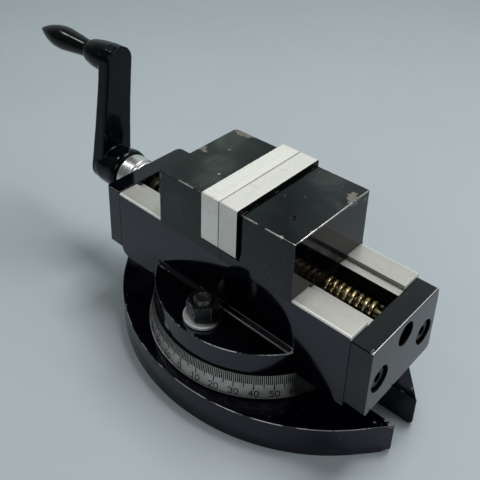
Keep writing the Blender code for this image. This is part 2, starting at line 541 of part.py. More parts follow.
# ---------------------------------------------------------------------- jaws
def jaw(tag, s):
    """s = -1 for the jaw on the crank side, +1 for the jaw on the tail side."""
    par = "jaw_" + tag
    xf = s * (PAD_T + 0.45)               # front face of the black block
    xb = s * (PAD_T + 0.45 + JAW_LEN)
    x0, x1 = min(xf, xb), max(xf, xb)
    xm = (x0 + x1) / 2
    ob = as_object("%s_block" % par, box(x0, x1, -JAW_HALF_W, JAW_HALF_W, WAY_Z + GAP, JAW_TOP))
    chamfer(ob, 0.8, 60.0)
    f0, f1 = sorted((s * 0.15, s * (PAD_T + 2.0)))
    join(ob, [box(f0, f1, -JAW_HALF_W, JAW_HALF_W, WAY_Z + GAP, PAD_Z0 - GAP)])     # the step the jaw plate stands on
    join(ob, [mesh_prism([(-13.1, UNDER_Z1 + 0.1), (13.1, UNDER_Z1 + 0.1), (13.1, 90.0), (19.6, 90.0), (19.6, 96.0), (-19.6, 96.0),
                          (-19.6, 90.0), (-13.1, 90.0)], x0 + 0.9, x1 - 0.9, "YZX")])
    # the screw's way through, and the nut's pocket, open below where the keeper closes it
    cuts = [cyl(8.6, x0 - 1, x1 + 1, "X", (0, 0, AXIS_Z), 24),
            cyl(11.3, xm - 10.2, xm + 10.2, "X", (0, 0, AXIS_Z), 28),
            box(xm - 10.2, xm + 10.2, -11.3, 11.3, UNDER_Z1 - 2, AXIS_Z)]
    cuts += [cyl(3.35, xf - s, xf + s * 17.0, "X", (0, y, 116.0), 14) for y in (-24, 24)]
    cuts += [cyl(2.75, UNDER_Z1 - 1, UNDER_Z1 + 4.2, "Z", (xm + dx, 0, 0), 12) for dx in (-15.0, 15.0)]
    cut(ob, cuts)
    finish(ob, BLACK, par, (xf, 0, WAY_Z))
    a, b = s * 0.15, s * (0.15 + PAD_T)
    pa, pb = min(a, b), max(a, b)
    h = PAD_HALF_W
    pad = as_object("%s_plate" % par, mesh_prism([(-h + 3.2, PAD_Z0), (h - 3.2, PAD_Z0), (h, PAD_Z0 + 3.6), (h, PAD_Z1), (-h, PAD_Z1),
                                                  (-h, PAD_Z0 + 3.6)], pa, pb, "YZX"))
    chamfer(pad, 0.45, 60.0)
    fr = a                                 # the face that touches the work
    for y in (-24, 24):
        cut(pad, [mesh_lathe([(0, fr - s * 2), (5.4, fr - s * 2), (5.4, fr + s * 6.6), (3.3, fr + s * 6.6), (3.3, b + s * 2),
                              (0, b + s * 2)], "X", 20, (0, y, 116.0))])
    finish(pad, GROUND, par, (fr, 0, WAY_Z))
    for i, y in enumerate((-24, 24), 1):
        cap_screw("%s_plate_screw_%d" % (par, i), OXIDE, par, (fr + s * 6.6, y, 116.0), "X", -s, 5.0, 6.0, 3.0, 23.0, 14)
    nut = as_object("%s_nut" % par, mesh_lathe(ring_profile(8.35, 11.0, xm - 9.9, xm + 9.9), "X", 28, (0, 0, AXIS_Z)))
    finish(nut, BRONZE, par, (xm, 0, AXIS_Z))
    keep = as_object("%s_keeper" % par, box(x0 + 1.6, x1 - 1.6, -18.1, 18.1, CHAN_FLOOR + 0.4, UNDER_Z1 - 0.3))
    chamfer(keep, 0.5, 60.0)
    cut(keep, [mesh_lathe([(0, CHAN_FLOOR - 2), (4.6, CHAN_FLOOR - 2), (4.6, CHAN_FLOOR + 5.2), (2.75, CHAN_FLOOR + 5.2),
                           (2.75, UNDER_Z1 + 2), (0, UNDER_Z1 + 2)], "Z", 16, (xm + dx, 0, 0)) for dx in (-15.0, 15.0)])
    finish(keep, STEEL, par, (xm, 0, UNDER_Z1))
    for i, dx in enumerate((-15.0, 15.0), 1):
        cap_screw("%s_keeper_screw_%d" % (par, i), OXIDE, par, (xm + dx, 0, CHAN_FLOOR + 5.2), "Z", -1, 4.25, 4.4, 2.5, 7.0, 14)


jaw("left", -1)
jaw("right", 1)

# each moving body hangs on the one that carries it
PLACE = {name: g.location.copy() for name, g in GROUPS.items()}
for name, up in (("bed", "base"), ("clamp_nut_front", "bed"), ("clamp_nut_rear", "bed"), ("spindle", "bed"),
                 ("jaw_left", "bed"), ("jaw_right", "bed"), ("handle", "spindle")):
    GROUPS[name].parent = GROUPS[up]
    GROUPS[name].location = PLACE[name] - PLACE[up]
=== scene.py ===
# Looks of the self-centring vise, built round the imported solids.
# Pieces are modelled in millimetres in the row frame and turned to metres when they are finished.
import bpy
import bmesh
import math
import random
from mathutils import Matrix, Vector, noise


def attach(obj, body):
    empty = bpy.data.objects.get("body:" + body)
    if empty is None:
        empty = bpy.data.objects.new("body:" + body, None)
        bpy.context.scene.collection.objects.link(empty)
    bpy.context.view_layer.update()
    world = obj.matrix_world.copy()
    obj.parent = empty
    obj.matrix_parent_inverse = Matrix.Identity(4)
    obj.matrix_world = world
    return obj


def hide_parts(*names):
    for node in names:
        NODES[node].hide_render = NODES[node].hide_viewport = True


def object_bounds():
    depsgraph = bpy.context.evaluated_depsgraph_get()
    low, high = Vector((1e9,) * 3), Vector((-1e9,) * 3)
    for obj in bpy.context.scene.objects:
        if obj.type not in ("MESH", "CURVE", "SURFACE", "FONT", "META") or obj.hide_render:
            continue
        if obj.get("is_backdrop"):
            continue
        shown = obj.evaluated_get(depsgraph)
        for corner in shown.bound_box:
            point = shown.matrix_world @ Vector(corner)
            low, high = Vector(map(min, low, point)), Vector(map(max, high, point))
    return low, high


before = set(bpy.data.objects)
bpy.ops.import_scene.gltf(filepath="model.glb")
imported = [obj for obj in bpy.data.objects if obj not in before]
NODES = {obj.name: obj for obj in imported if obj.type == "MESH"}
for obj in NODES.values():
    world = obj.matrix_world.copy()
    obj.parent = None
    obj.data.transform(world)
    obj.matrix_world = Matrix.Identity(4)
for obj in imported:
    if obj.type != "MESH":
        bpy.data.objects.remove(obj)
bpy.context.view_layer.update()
scene = bpy.context.scene
MM = 0.001

# ------------------------------------------------------------------ dimensions (mm, as in the solids)
FLANGE_H, FLANGE_HALF_W, FLANGE_ARC_R = 22.0, 79.0, 133.2
SLOT_HALF_W, SLOT_END_X = 12.3, 97.0
DRUM_R, DRUM_TOP = 65.7, 39.4
TSLOT_R, TSLOT_NECK, TSLOT_WIDE, TSLOT_FLOOR, TSLOT_ROOF = 53.0, 6.5, 11.0, 7.0, 19.0
PIVOT_R = 20.0
RING_IN_R, RING_FOOT_R, RING_TOP_R, RING_Z0, RING_Z1 = 66.0, 73.7, 70.4, 22.9, 39.1
BED_X0, BED_X1, BED_HALF_W, BED_Z0, WAY_Z = -98.0, 94.5, 36.5, 40.0, 92.9
TURRET_R, TURRET_Z0, TURRET_TOP = 69.1, 39.7, 55.0
WAY_IN, LEDGE_Z, CHAN_HALF, UNDER_HALF, UNDER_Z1, CHAN_FLOOR = 19.9, 89.7, 13.4, 18.5, 66.0, 57.5
AXIS_Z, LEAD, THREAD_R, ROOT_R = 79.5, 4.4, 8.0, 5.9
PLATE_TOP, DRIVE_TOP, DRIVE_X0, DRIVE_Z0, TAIL_X1, TAIL_Z0 = 90.4, 93.5, -112.0, 45.6, 108.6, 43.0
PS_Y, PS_Z = 24.5, 63.5
JAW_F, JAW_LEN, JAW_HALF_W, JAW_TOP = 15.0, 39.6, 37.4, 133.3
PAD_T, PAD_HALF_W, PAD_Z0, PAD_Z1 = 14.55, 40.0, 99.0, 136.3
CRANK_R, TILT = 85.5, math.radians(6.0)
NUT_AF, NUT_H, WASHER_R, WASHER_H, STUD_TOP = 18.0, 10.5, 13.2, 2.6, 71.6
NUT_TURN, DIAL_TURN = 43.5, -0.8
GAP = 0.3


# ================================================================== materials
class Mat:
    """Small helper for node materials. Coordinates are the object's own, so a pattern stays on its piece."""

    def __init__(self, name, rough=0.4, metal=0.0, color=(0.5, 0.5, 0.5), spec=0.5):
        self.m = bpy.data.materials.new(name)
        self.m.use_nodes = True
        self.t = self.m.node_tree
        self.b = self.t.nodes["Principled BSDF"]
        self.b.inputs["Base Color"].default_value = (*color, 1)
        self.b.inputs["Roughness"].default_value = rough
        self.b.inputs["Metallic"].default_value = metal
        self.b.inputs["Specular IOR Level"].default_value = spec
        self.co = self.t.nodes.new("ShaderNodeTexCoord").outputs["Object"]
        self.bump_last = None

    def link(self, a, b):
        self.t.links.new(a, b)

    def scaled(self, sx, sy, sz, rot=(0, 0, 0)):
        n = self.t.nodes.new("ShaderNodeMapping")
        n.inputs["Scale"].default_value = (sx, sy, sz)
        n.inputs["Rotation"].default_value = rot
        self.link(self.co, n.inputs["Vector"])
        return n.outputs["Vector"]

    def noise(self, scale, detail=3.0, rough=0.55, vec=None, dist=0.0, out="Fac"):
        n = self.t.nodes.new("ShaderNodeTexNoise")
        n.inputs["Scale"].default_value = scale
        n.inputs["Detail"].default_value = detail
        n.inputs["Roughness"].default_value = rough
        n.inputs["Distortion"].default_value = dist
        self.link(vec if vec is not None else self.co, n.inputs["Vector"])
        return n.outputs[out]

    def voronoi(self, scale, vec=None, feature="F1", out="Distance"):
        n = self.t.nodes.new("ShaderNodeTexVoronoi")
        n.feature = feature
        n.inputs["Scale"].default_value = scale
        self.link(vec if vec is not None else self.co, n.inputs["Vector"])
        return n.outputs[out]

    def ramp(self, fac, lo, hi, a=0.0, b=1.0, smooth=True):
        n = self.t.nodes.new("ShaderNodeMapRange")
        n.interpolation_type = "SMOOTHSTEP" if smooth else "LINEAR"
        n.inputs["From Min"].default_value = lo
        n.inputs["From Max"].default_value = hi
        n.inputs["To Min"].default_value = a
        n.inputs["To Max"].default_value = b
        self.link(fac, n.inputs["Value"])
        return n.outputs["Result"]

    def math(self, op, a, b=None, c=None):
        n = self.t.nodes.new("ShaderNodeMath")
        n.operation = op
        for i, v in enumerate((a, b, c)):
            if v is None:
                continue
            if isinstance(v, (int, float)):
                n.inputs[i].default_value = v
            else:
                self.link(v, n.inputs[i])
        return n.outputs[0]

    def mix(self, fac, a, b):
        n = self.t.nodes.new("ShaderNodeMix")
        n.data_type = "RGBA"
        for key, v in ((0, fac), (6, a), (7, b)):
            if isinstance(v, tuple):
                n.inputs[key].default_value = (*v, 1)
            elif isinstance(v, (int, float)):
                n.inputs[key].default_value = v
            else:
                self.link(v, n.inputs[key])
        return n.outputs[2]

    def blob(self, c, r, wob, warp):
        """1 inside a ragged patch round point c (mm), 0 outside."""
        n = self.t.nodes.new("ShaderNodeVectorMath")
        n.operation = "DISTANCE"
        self.link(self.co, n.inputs[0])
        n.inputs[1].default_value = (c[0] * MM, c[1] * MM, c[2] * MM)
        d = self.math("ADD", n.outputs["Value"], self.math("MULTIPLY", self.math("SUBTRACT", wob, 0.5), warp * 3.5 * MM))
        return self.ramp(d, (r + 0.25) * MM, (r - 0.25) * MM)

    def near(self, zones):
        """Smooth 0 to 1 near any of the points (x, y, z, reach) in mm."""
        out = None
        for x, y, z, r in zones:
            n = self.t.nodes.new("ShaderNodeVectorMath")
            n.operation = "DISTANCE"
            self.link(self.co, n.inputs[0])
            n.inputs[1].default_value = (x * MM, y * MM, z * MM)
            m = self.ramp(n.outputs["Value"], r * MM, r * 0.45 * MM)
            out = m if out is None else self.math("MAXIMUM", out, m)
        return out

    def any_of(self, masks):
        out = masks[0]
        for m in masks[1:]:
            out = self.math("MAXIMUM", out, m)
        return out

    def bump(self, height, dist_mm, strength=1.0):
        n = self.t.nodes.new("ShaderNodeBump")
        n.inputs["Distance"].default_value = dist_mm * MM
        n.inputs["Strength"].default_value = strength
        self.link(height, n.inputs["Height"])
        if self.bump_last is not None:
            self.link(self.bump_last, n.inputs["Normal"])
        self.bump_last = n.outputs["Normal"]
        self.link(self.bump_last, self.b.inputs["Normal"])

    def color(self, s):
        self.link(s, self.b.inputs["Base Color"])

    def rough(self, s):
        self.link(s, self.b.inputs["Roughness"])

    def metal(self, s):
        self.link(s, self.b.inputs["Metallic"])


def enamel(name, chips=(), base=(0.0007, 0.0008, 0.0019), haze=(0.0032, 0.0044, 0.0052), gloss=0.07, spots=0.7, peel=0.012, spec=0.5, smudge_and_sheen=(), dull=(), tint=(1.0, 1.0, 1.0)):
    """Glossy black enamel over ground iron: faint haze and rub marks, dust specks, bare patches where it has chipped,
    and optional green-grey smudges that also paint in sheen.
    """
    k = Mat(name, spec=spec)
    k.b.inputs["Specular Tint"].default_value = (*tint, 1)
    if dull:
        k.link(k.ramp(k.near(dull), 0, 1, spec, spec * 0.22, False), k.b.inputs["Specular IOR Level"])
    big = k.noise(24, 4, 0.6, dist=0.6)
    wipe = k.noise(9, 5, 0.62, vec=k.scaled(1.0, 2.4, 1.0, (0.2, 0.1, 0.5)), dist=1.2)
    haze_f = k.math("MULTIPLY", k.ramp(big, 0.38, 0.72), k.ramp(wipe, 0.35, 0.75))
    col = k.mix(haze_f, base, haze)
    # lighter green-grey smudges on the jaws, partly real smudge and partly painted sheen
    if smudge_and_sheen:
        cloud = k.ramp(k.noise(42, 4, 0.6, vec=k.scaled(1.0, 0.55, 1.0, (0, 0, 0.6)), dist=0.9), 0.34, 0.66)
        col = k.mix(k.math("MULTIPLY", cloud, k.near(smudge_and_sheen)), col, (0.026, 0.029, 0.027))
    # dust specks and tiny pits
    cell = k.voronoi(420)
    keep = k.ramp(k.noise(150, 2, 0.5), 0.60, 0.66)
    speck = k.math("MULTIPLY", k.math("MULTIPLY", k.ramp(cell, 0.16, 0.08), keep), spots)
    col = k.mix(speck, col, (0.16, 0.17, 0.17))
    ro = k.ramp(k.noise(60, 4, 0.6, dist=0.4), 0.3, 0.75, gloss * 0.75, gloss * 1.5)
    ro = k.math("ADD", ro, k.math("MULTIPLY", haze_f, 0.10))
    ro = k.math("ADD", ro, k.math("MULTIPLY", speck, 0.45))
    if chips:
        wob = k.noise(330, 4, 0.7)
        mask = k.any_of([k.blob(c[:3], c[3], wob, c[4] if len(c) > 4 else c[3] * 1.6) for c in chips])
        iron = k.mix(k.noise(600, 4, 0.7), (0.105, 0.093, 0.080), (0.23, 0.208, 0.182))
        col = k.mix(mask, col, iron)
        ro = k.math("ADD", ro, k.math("MULTIPLY", mask, 0.42))
        k.metal(k.math("MULTIPLY", mask, 0.35))
        k.bump(k.math("SUBTRACT", 1.0, mask), 0.12)
    k.color(col)
    k.rough(ro)
    k.bump(k.noise(260, 2, 0.5), peel, 0.35)
    return k.m


def worn_edge(name, amount=0.55, bright=(0.62, 0.62, 0.60), zones=(), lift=0.26):
    """A bevelled edge where the black has rubbed through to bright iron, most of all near the zones; on the bed's
    fillet the same pattern is a painted highlight.
    """
    k = Mat(name)
    a = k.noise(70, 4, 0.62, dist=0.5)
    b = k.noise(420, 3, 0.6)
    f = k.math("ADD", k.math("MULTIPLY", a, 0.72), k.math("MULTIPLY", b, 0.28))
    if zones:
        f = k.math("ADD", f, k.math("MULTIPLY", k.near(zones), lift))
    lo = 0.66 - 0.42 * amount
    mask = k.ramp(f, lo, lo + 0.10)
    tone = k.mix(k.noise(260, 3, 0.6), tuple(0.62 * c for c in bright), bright)
    k.color(k.mix(mask, (0.004, 0.004, 0.005), tone))
    k.metal(k.math("MULTIPLY", mask, 0.85))
    k.rough(k.ramp(mask, 0, 1, 0.10, 0.36, False))
    k.bump(b, 0.02, 0.5)
    return k.m


def ground(name, color=(0.66, 0.655, 0.62), along="Y", rough=0.36, metal=1.0, stain=0.25, fine=1.0):
    """Ground steel: fine parallel scratches, a mottled sheen and a few stains."""
    k = Mat(name, metal=metal)
    s = {"X": (20, 2600, 2600), "Y": (2600, 20, 2600), "Z": (2600, 2600, 20)}[along]
    lines = k.noise(1.0, 3, 0.65, vec=k.scaled(*s))
    s2 = tuple(v * 0.25 for v in s)
    wide = k.noise(1.0, 2, 0.5, vec=k.scaled(*s2))
    grain = k.noise(1500, 2, 0.6)
    mott = k.noise(45, 4, 0.6, dist=0.5)
    f = k.math("ADD", k.math("MULTIPLY", lines, 0.5), k.math("MULTIPLY", grain, 0.5))
    col = k.mix(k.ramp(f, 0.30, 0.70), tuple(0.86 * c for c in color), tuple(min(1, 1.08 * c) for c in color))
    col = k.mix(k.math("MULTIPLY", k.ramp(mott, 0.50, 0.78), stain), col, tuple(c * t for c, t in zip(color, (0.62, 0.60, 0.54))))
    pits = k.math("MULTIPLY", k.ramp(k.voronoi(210), 0.10, 0.05), k.ramp(k.noise(90, 2, 0.5), 0.62, 0.66))
    col = k.mix(pits, col, (0.05, 0.045, 0.04))
    k.color(col)
    ro = k.math("ADD", k.ramp(mott, 0.25, 0.8, rough * 0.88, rough * 1.16), k.math("MULTIPLY", k.math("SUBTRACT", wide, 0.5), 0.16))
    k.rough(ro)
    k.bump(lines, 0.006 * fine, 0.8)
    k.bump(grain, 0.004 * fine, 0.6)
    return k.m


def turned(name, color, rough, rings=1.0, stain=0.15, axis="X"):
    """Turned metal: fine rings round the axis."""
    k = Mat(name, metal=1.0)
    s = {"X": (2400, 14, 14), "Z": (14, 14, 2400)}[axis]
    lines = k.noise(1.0, 3, 0.6, vec=k.scaled(*s))
    mott = k.noise(80, 4, 0.6)
    col = k.mix(k.ramp(lines, 0.3, 0.7), tuple(0.80 * c for c in color), tuple(min(1, 1.10 * c) for c in color))
    col = k.mix(k.math("MULTIPLY", k.ramp(mott, 0.5, 0.8), stain), col, tuple(0.45 * c for c in color))
    k.color(col)
    k.rough(k.ramp(lines, 0.25, 0.8, rough * 0.8, rough * 1.25))
    k.bump(lines, 0.006 * rings, 0.8)
    return k.m


def greased_thread(name):
    """Steel thread under a thin coat of golden grease, with painted shade darkening the roots."""
    k = Mat(name, metal=1.0)
    blot = k.noise(150, 4, 0.65, dist=0.8)
    fine = k.noise(700, 3, 0.6)
    col = k.mix(k.ramp(blot, 0.38, 0.66), (0.66, 0.58, 0.40), (0.88, 0.62, 0.20))
    col = k.mix(k.ramp(fine, 0.35, 0.75), tuple([0.10, 0.085, 0.05]), col)
    # painted shade: darker towards the roots of the groove, from the distance to the screw's axis
    sep = k.t.nodes.new("ShaderNodeSeparateXYZ")
    k.link(k.co, sep.inputs[0])
    dz = k.math("SUBTRACT", sep.outputs[2], AXIS_Z * MM)
    r = k.math("SQRT", k.math("ADD", k.math("MULTIPLY", dz, dz), k.math("MULTIPLY", sep.outputs[1], sep.outputs[1])))
    root_shade_fade = k.ramp(r, 0.0059, 0.0072)
    col = k.mix(root_shade_fade, (0.035, 0.028, 0.016), col)
    k.color(col)
    k.rough(k.ramp(k.noise(320, 3, 0.6), 0.3, 0.7, 0.16, 0.42))
    k.bump(k.noise(520, 3, 0.6), 0.05, 0.6)
    return k.m


def oxide(name, base=(0.030, 0.032, 0.036), rub=(0.22, 0.22, 0.22), rough=0.33, spec=0.5):
    """Black oxide with oily sheen, rubbed lighter in places."""
    k = Mat(name, metal=0.65, spec=spec)
    a = k.noise(190, 4, 0.65)
    b = k.noise(900, 3, 0.6)
    k.color(k.mix(k.ramp(a, 0.56, 0.82), base, tuple(0.5 * (x + y) for x, y in zip(base, rub))))
    k.rough(k.ramp(b, 0.3, 0.75, rough * 0.75, rough * 1.3))
    k.bump(b, 0.02, 0.5)
    return k.m


def dial_metal(name):
    """Satin plated ring with light rust speckle and fine rings from turning, and painted shade darkening the part that
    turns towards +X.
    """
    k = Mat(name, metal=0.9)
    lines = k.noise(1.0, 2, 0.6, vec=k.scaled(10, 10, 2600))
    grain = k.noise(1300, 3, 0.65)
    mott = k.noise(38, 4, 0.65, dist=0.6)
    col = k.mix(k.ramp(grain, 0.32, 0.70), (0.34, 0.332, 0.32), (0.52, 0.51, 0.49))
    col = k.mix(k.math("MULTIPLY", k.ramp(mott, 0.45, 0.75), 0.45), col, (0.25, 0.245, 0.235))
    # painted shade: the ring darkens to near black round these points, where it turns away towards +X
    painted_shade = k.near([(70.0, -20.0, 31.0, 26.0), (66.0, -30.0, 31.0, 17.0)])
    col = k.mix(k.math("MULTIPLY", painted_shade, 0.94), col, (0.012, 0.011, 0.009))
    pits = k.math("MULTIPLY", k.ramp(k.voronoi(520), 0.18, 0.08), k.ramp(k.noise(120, 2, 0.5), 0.55, 0.62))
    col = k.mix(pits, col, (0.06, 0.055, 0.05))
    k.color(col)
    k.rough(k.ramp(mott, 0.3, 0.75, 0.34, 0.50))
    k.bump(lines, 0.006, 0.6)
    k.bump(grain, 0.008, 0.5)
    return k.m


def mark_paint(name):
    """Dark filler in the engraved marks, thin in places."""
    k = Mat(name, rough=0.6, spec=0.12)
    k.color(k.mix(k.ramp(k.noise(800, 3, 0.6), 0.45, 0.8), (0.004, 0.004, 0.004), (0.020, 0.020, 0.020)))
    k.rough(k.ramp(k.noise(500, 2, 0.5), 0.3, 0.7, 0.45, 0.7))
    return k.m


def phenolic(name):
    """Glossy black moulded grip, finely scuffed."""
    k = Mat(name, spec=0.20)
    scuff = k.noise(1.0, 4, 0.65, vec=k.scaled(120, 700, 700))
    k.color(k.mix(k.ramp(scuff, 0.55, 0.85), (0.0025, 0.0028, 0.0032), (0.014, 0.015, 0.015)))
    k.rough(k.ramp(k.noise(90, 4, 0.6, dist=0.5), 0.3, 0.75, 0.10, 0.22))
    k.bump(k.noise(300, 3, 0.5), 0.03, 0.5)
    return k.m


def zinc(name, shade_zones=()):
    """Zinc plate, dull and grainy, with painted shade, near black round the given zones between the nut and the side of
    the bed.
    """
    k = Mat(name, metal=0.60)
    g = k.noise(600, 4, 0.6)
    m = k.noise(110, 4, 0.6)
    col = k.mix(k.ramp(m, 0.4, 0.75), (0.86, 0.86, 0.84), (0.58, 0.58, 0.56))
    if shade_zones:
        # painted shade: near black round the zones
        col = k.mix(k.near(shade_zones), col, (0.010, 0.010, 0.010))
    k.color(col)
    k.rough(k.ramp(g, 0.3, 0.75, 0.40, 0.58))
    k.bump(g, 0.012, 0.6)
    return k.m


def dark_cast(name, lo=(0.010, 0.010, 0.011), hi=(0.045, 0.042, 0.038), spec=0.5, metal=0.4):
    """Unseen cast or milled inside faces: oily dark iron."""
    k = Mat(name, metal=metal, spec=spec)
    a = k.noise(90, 5, 0.65)
    k.color(k.mix(k.ramp(a, 0.35, 0.75), lo, hi))
    k.rough(k.ramp(k.noise(400, 3, 0.6), 0.3, 0.7, 0.30, 0.55))
    k.bump(a, 0.1, 0.4)
    return k.m


JAW_R_CHIPS = [(52.6, 22.4, 133.3, 3.8, 2.2), (50.4, 25.4, 133.3, 2.8, 2.2), (54.2, 18.0, 133.3, 1.9, 1.8), (54.6, 27.6, 133.3, 1.5, 1.8), (54.6, 12.6, 133.3, 0.9, 1.2),
               (44.9, -37.4, 133.3, 1.4, 1.2), (54.6, -20.8, 133.3, 1.5, 1.2), (21.8, -37.4, 133.3, 0.9, 1.1), (30.8, 3.4, 133.3, 0.6, 0.8), (54.7, 34.0, 128.0, 1.6, 1.8)]
JAW_L_CHIPS = [(-50.6, 36.2, 133.3, 3.2, 2.0), (-46.6, 35.8, 133.3, 4.2, 2.2), (-41.6, 36.0, 133.3, 3.4, 2.0), (-37.4, 37.2, 133.3, 1.9, 1.8), (-53.4, 1.6, 133.3, 3.0, 2.4), (-49.4, -0.4, 133.3, 1.9, 2.0),
               (-29.9, -37.4, 133.3, 1.0, 1.2), (-33.0, 37.6, 133.3, 1.0, 1.6), (-54.5, -37.3, 129.0, 1.5, 1.4), (-54.5, -37.4, 125.5, 0.9, 1.0)]
TAIL_CHIPS = [(108.6, -35.6, 90.4, 1.6, 1.4), (106.8, -33.4, 90.4, 0.6, 0.8), (108.6, -22.0, 90.2, 0.7, 1.0), (108.7, 18.0, 90.4, 0.7, 1.0)]


def pad_rim(deg, side=-1):
    return (TURRET_R * math.sin(math.radians(deg)), side * TURRET_R * math.cos(math.radians(deg)), TURRET_TOP)


def flange_rim(x, side=-1):
    return (x, side * (math.sqrt(FLANGE_ARC_R ** 2 - x * x) - (FLANGE_ARC_R - FLANGE_HALF_W)), FLANGE_H)


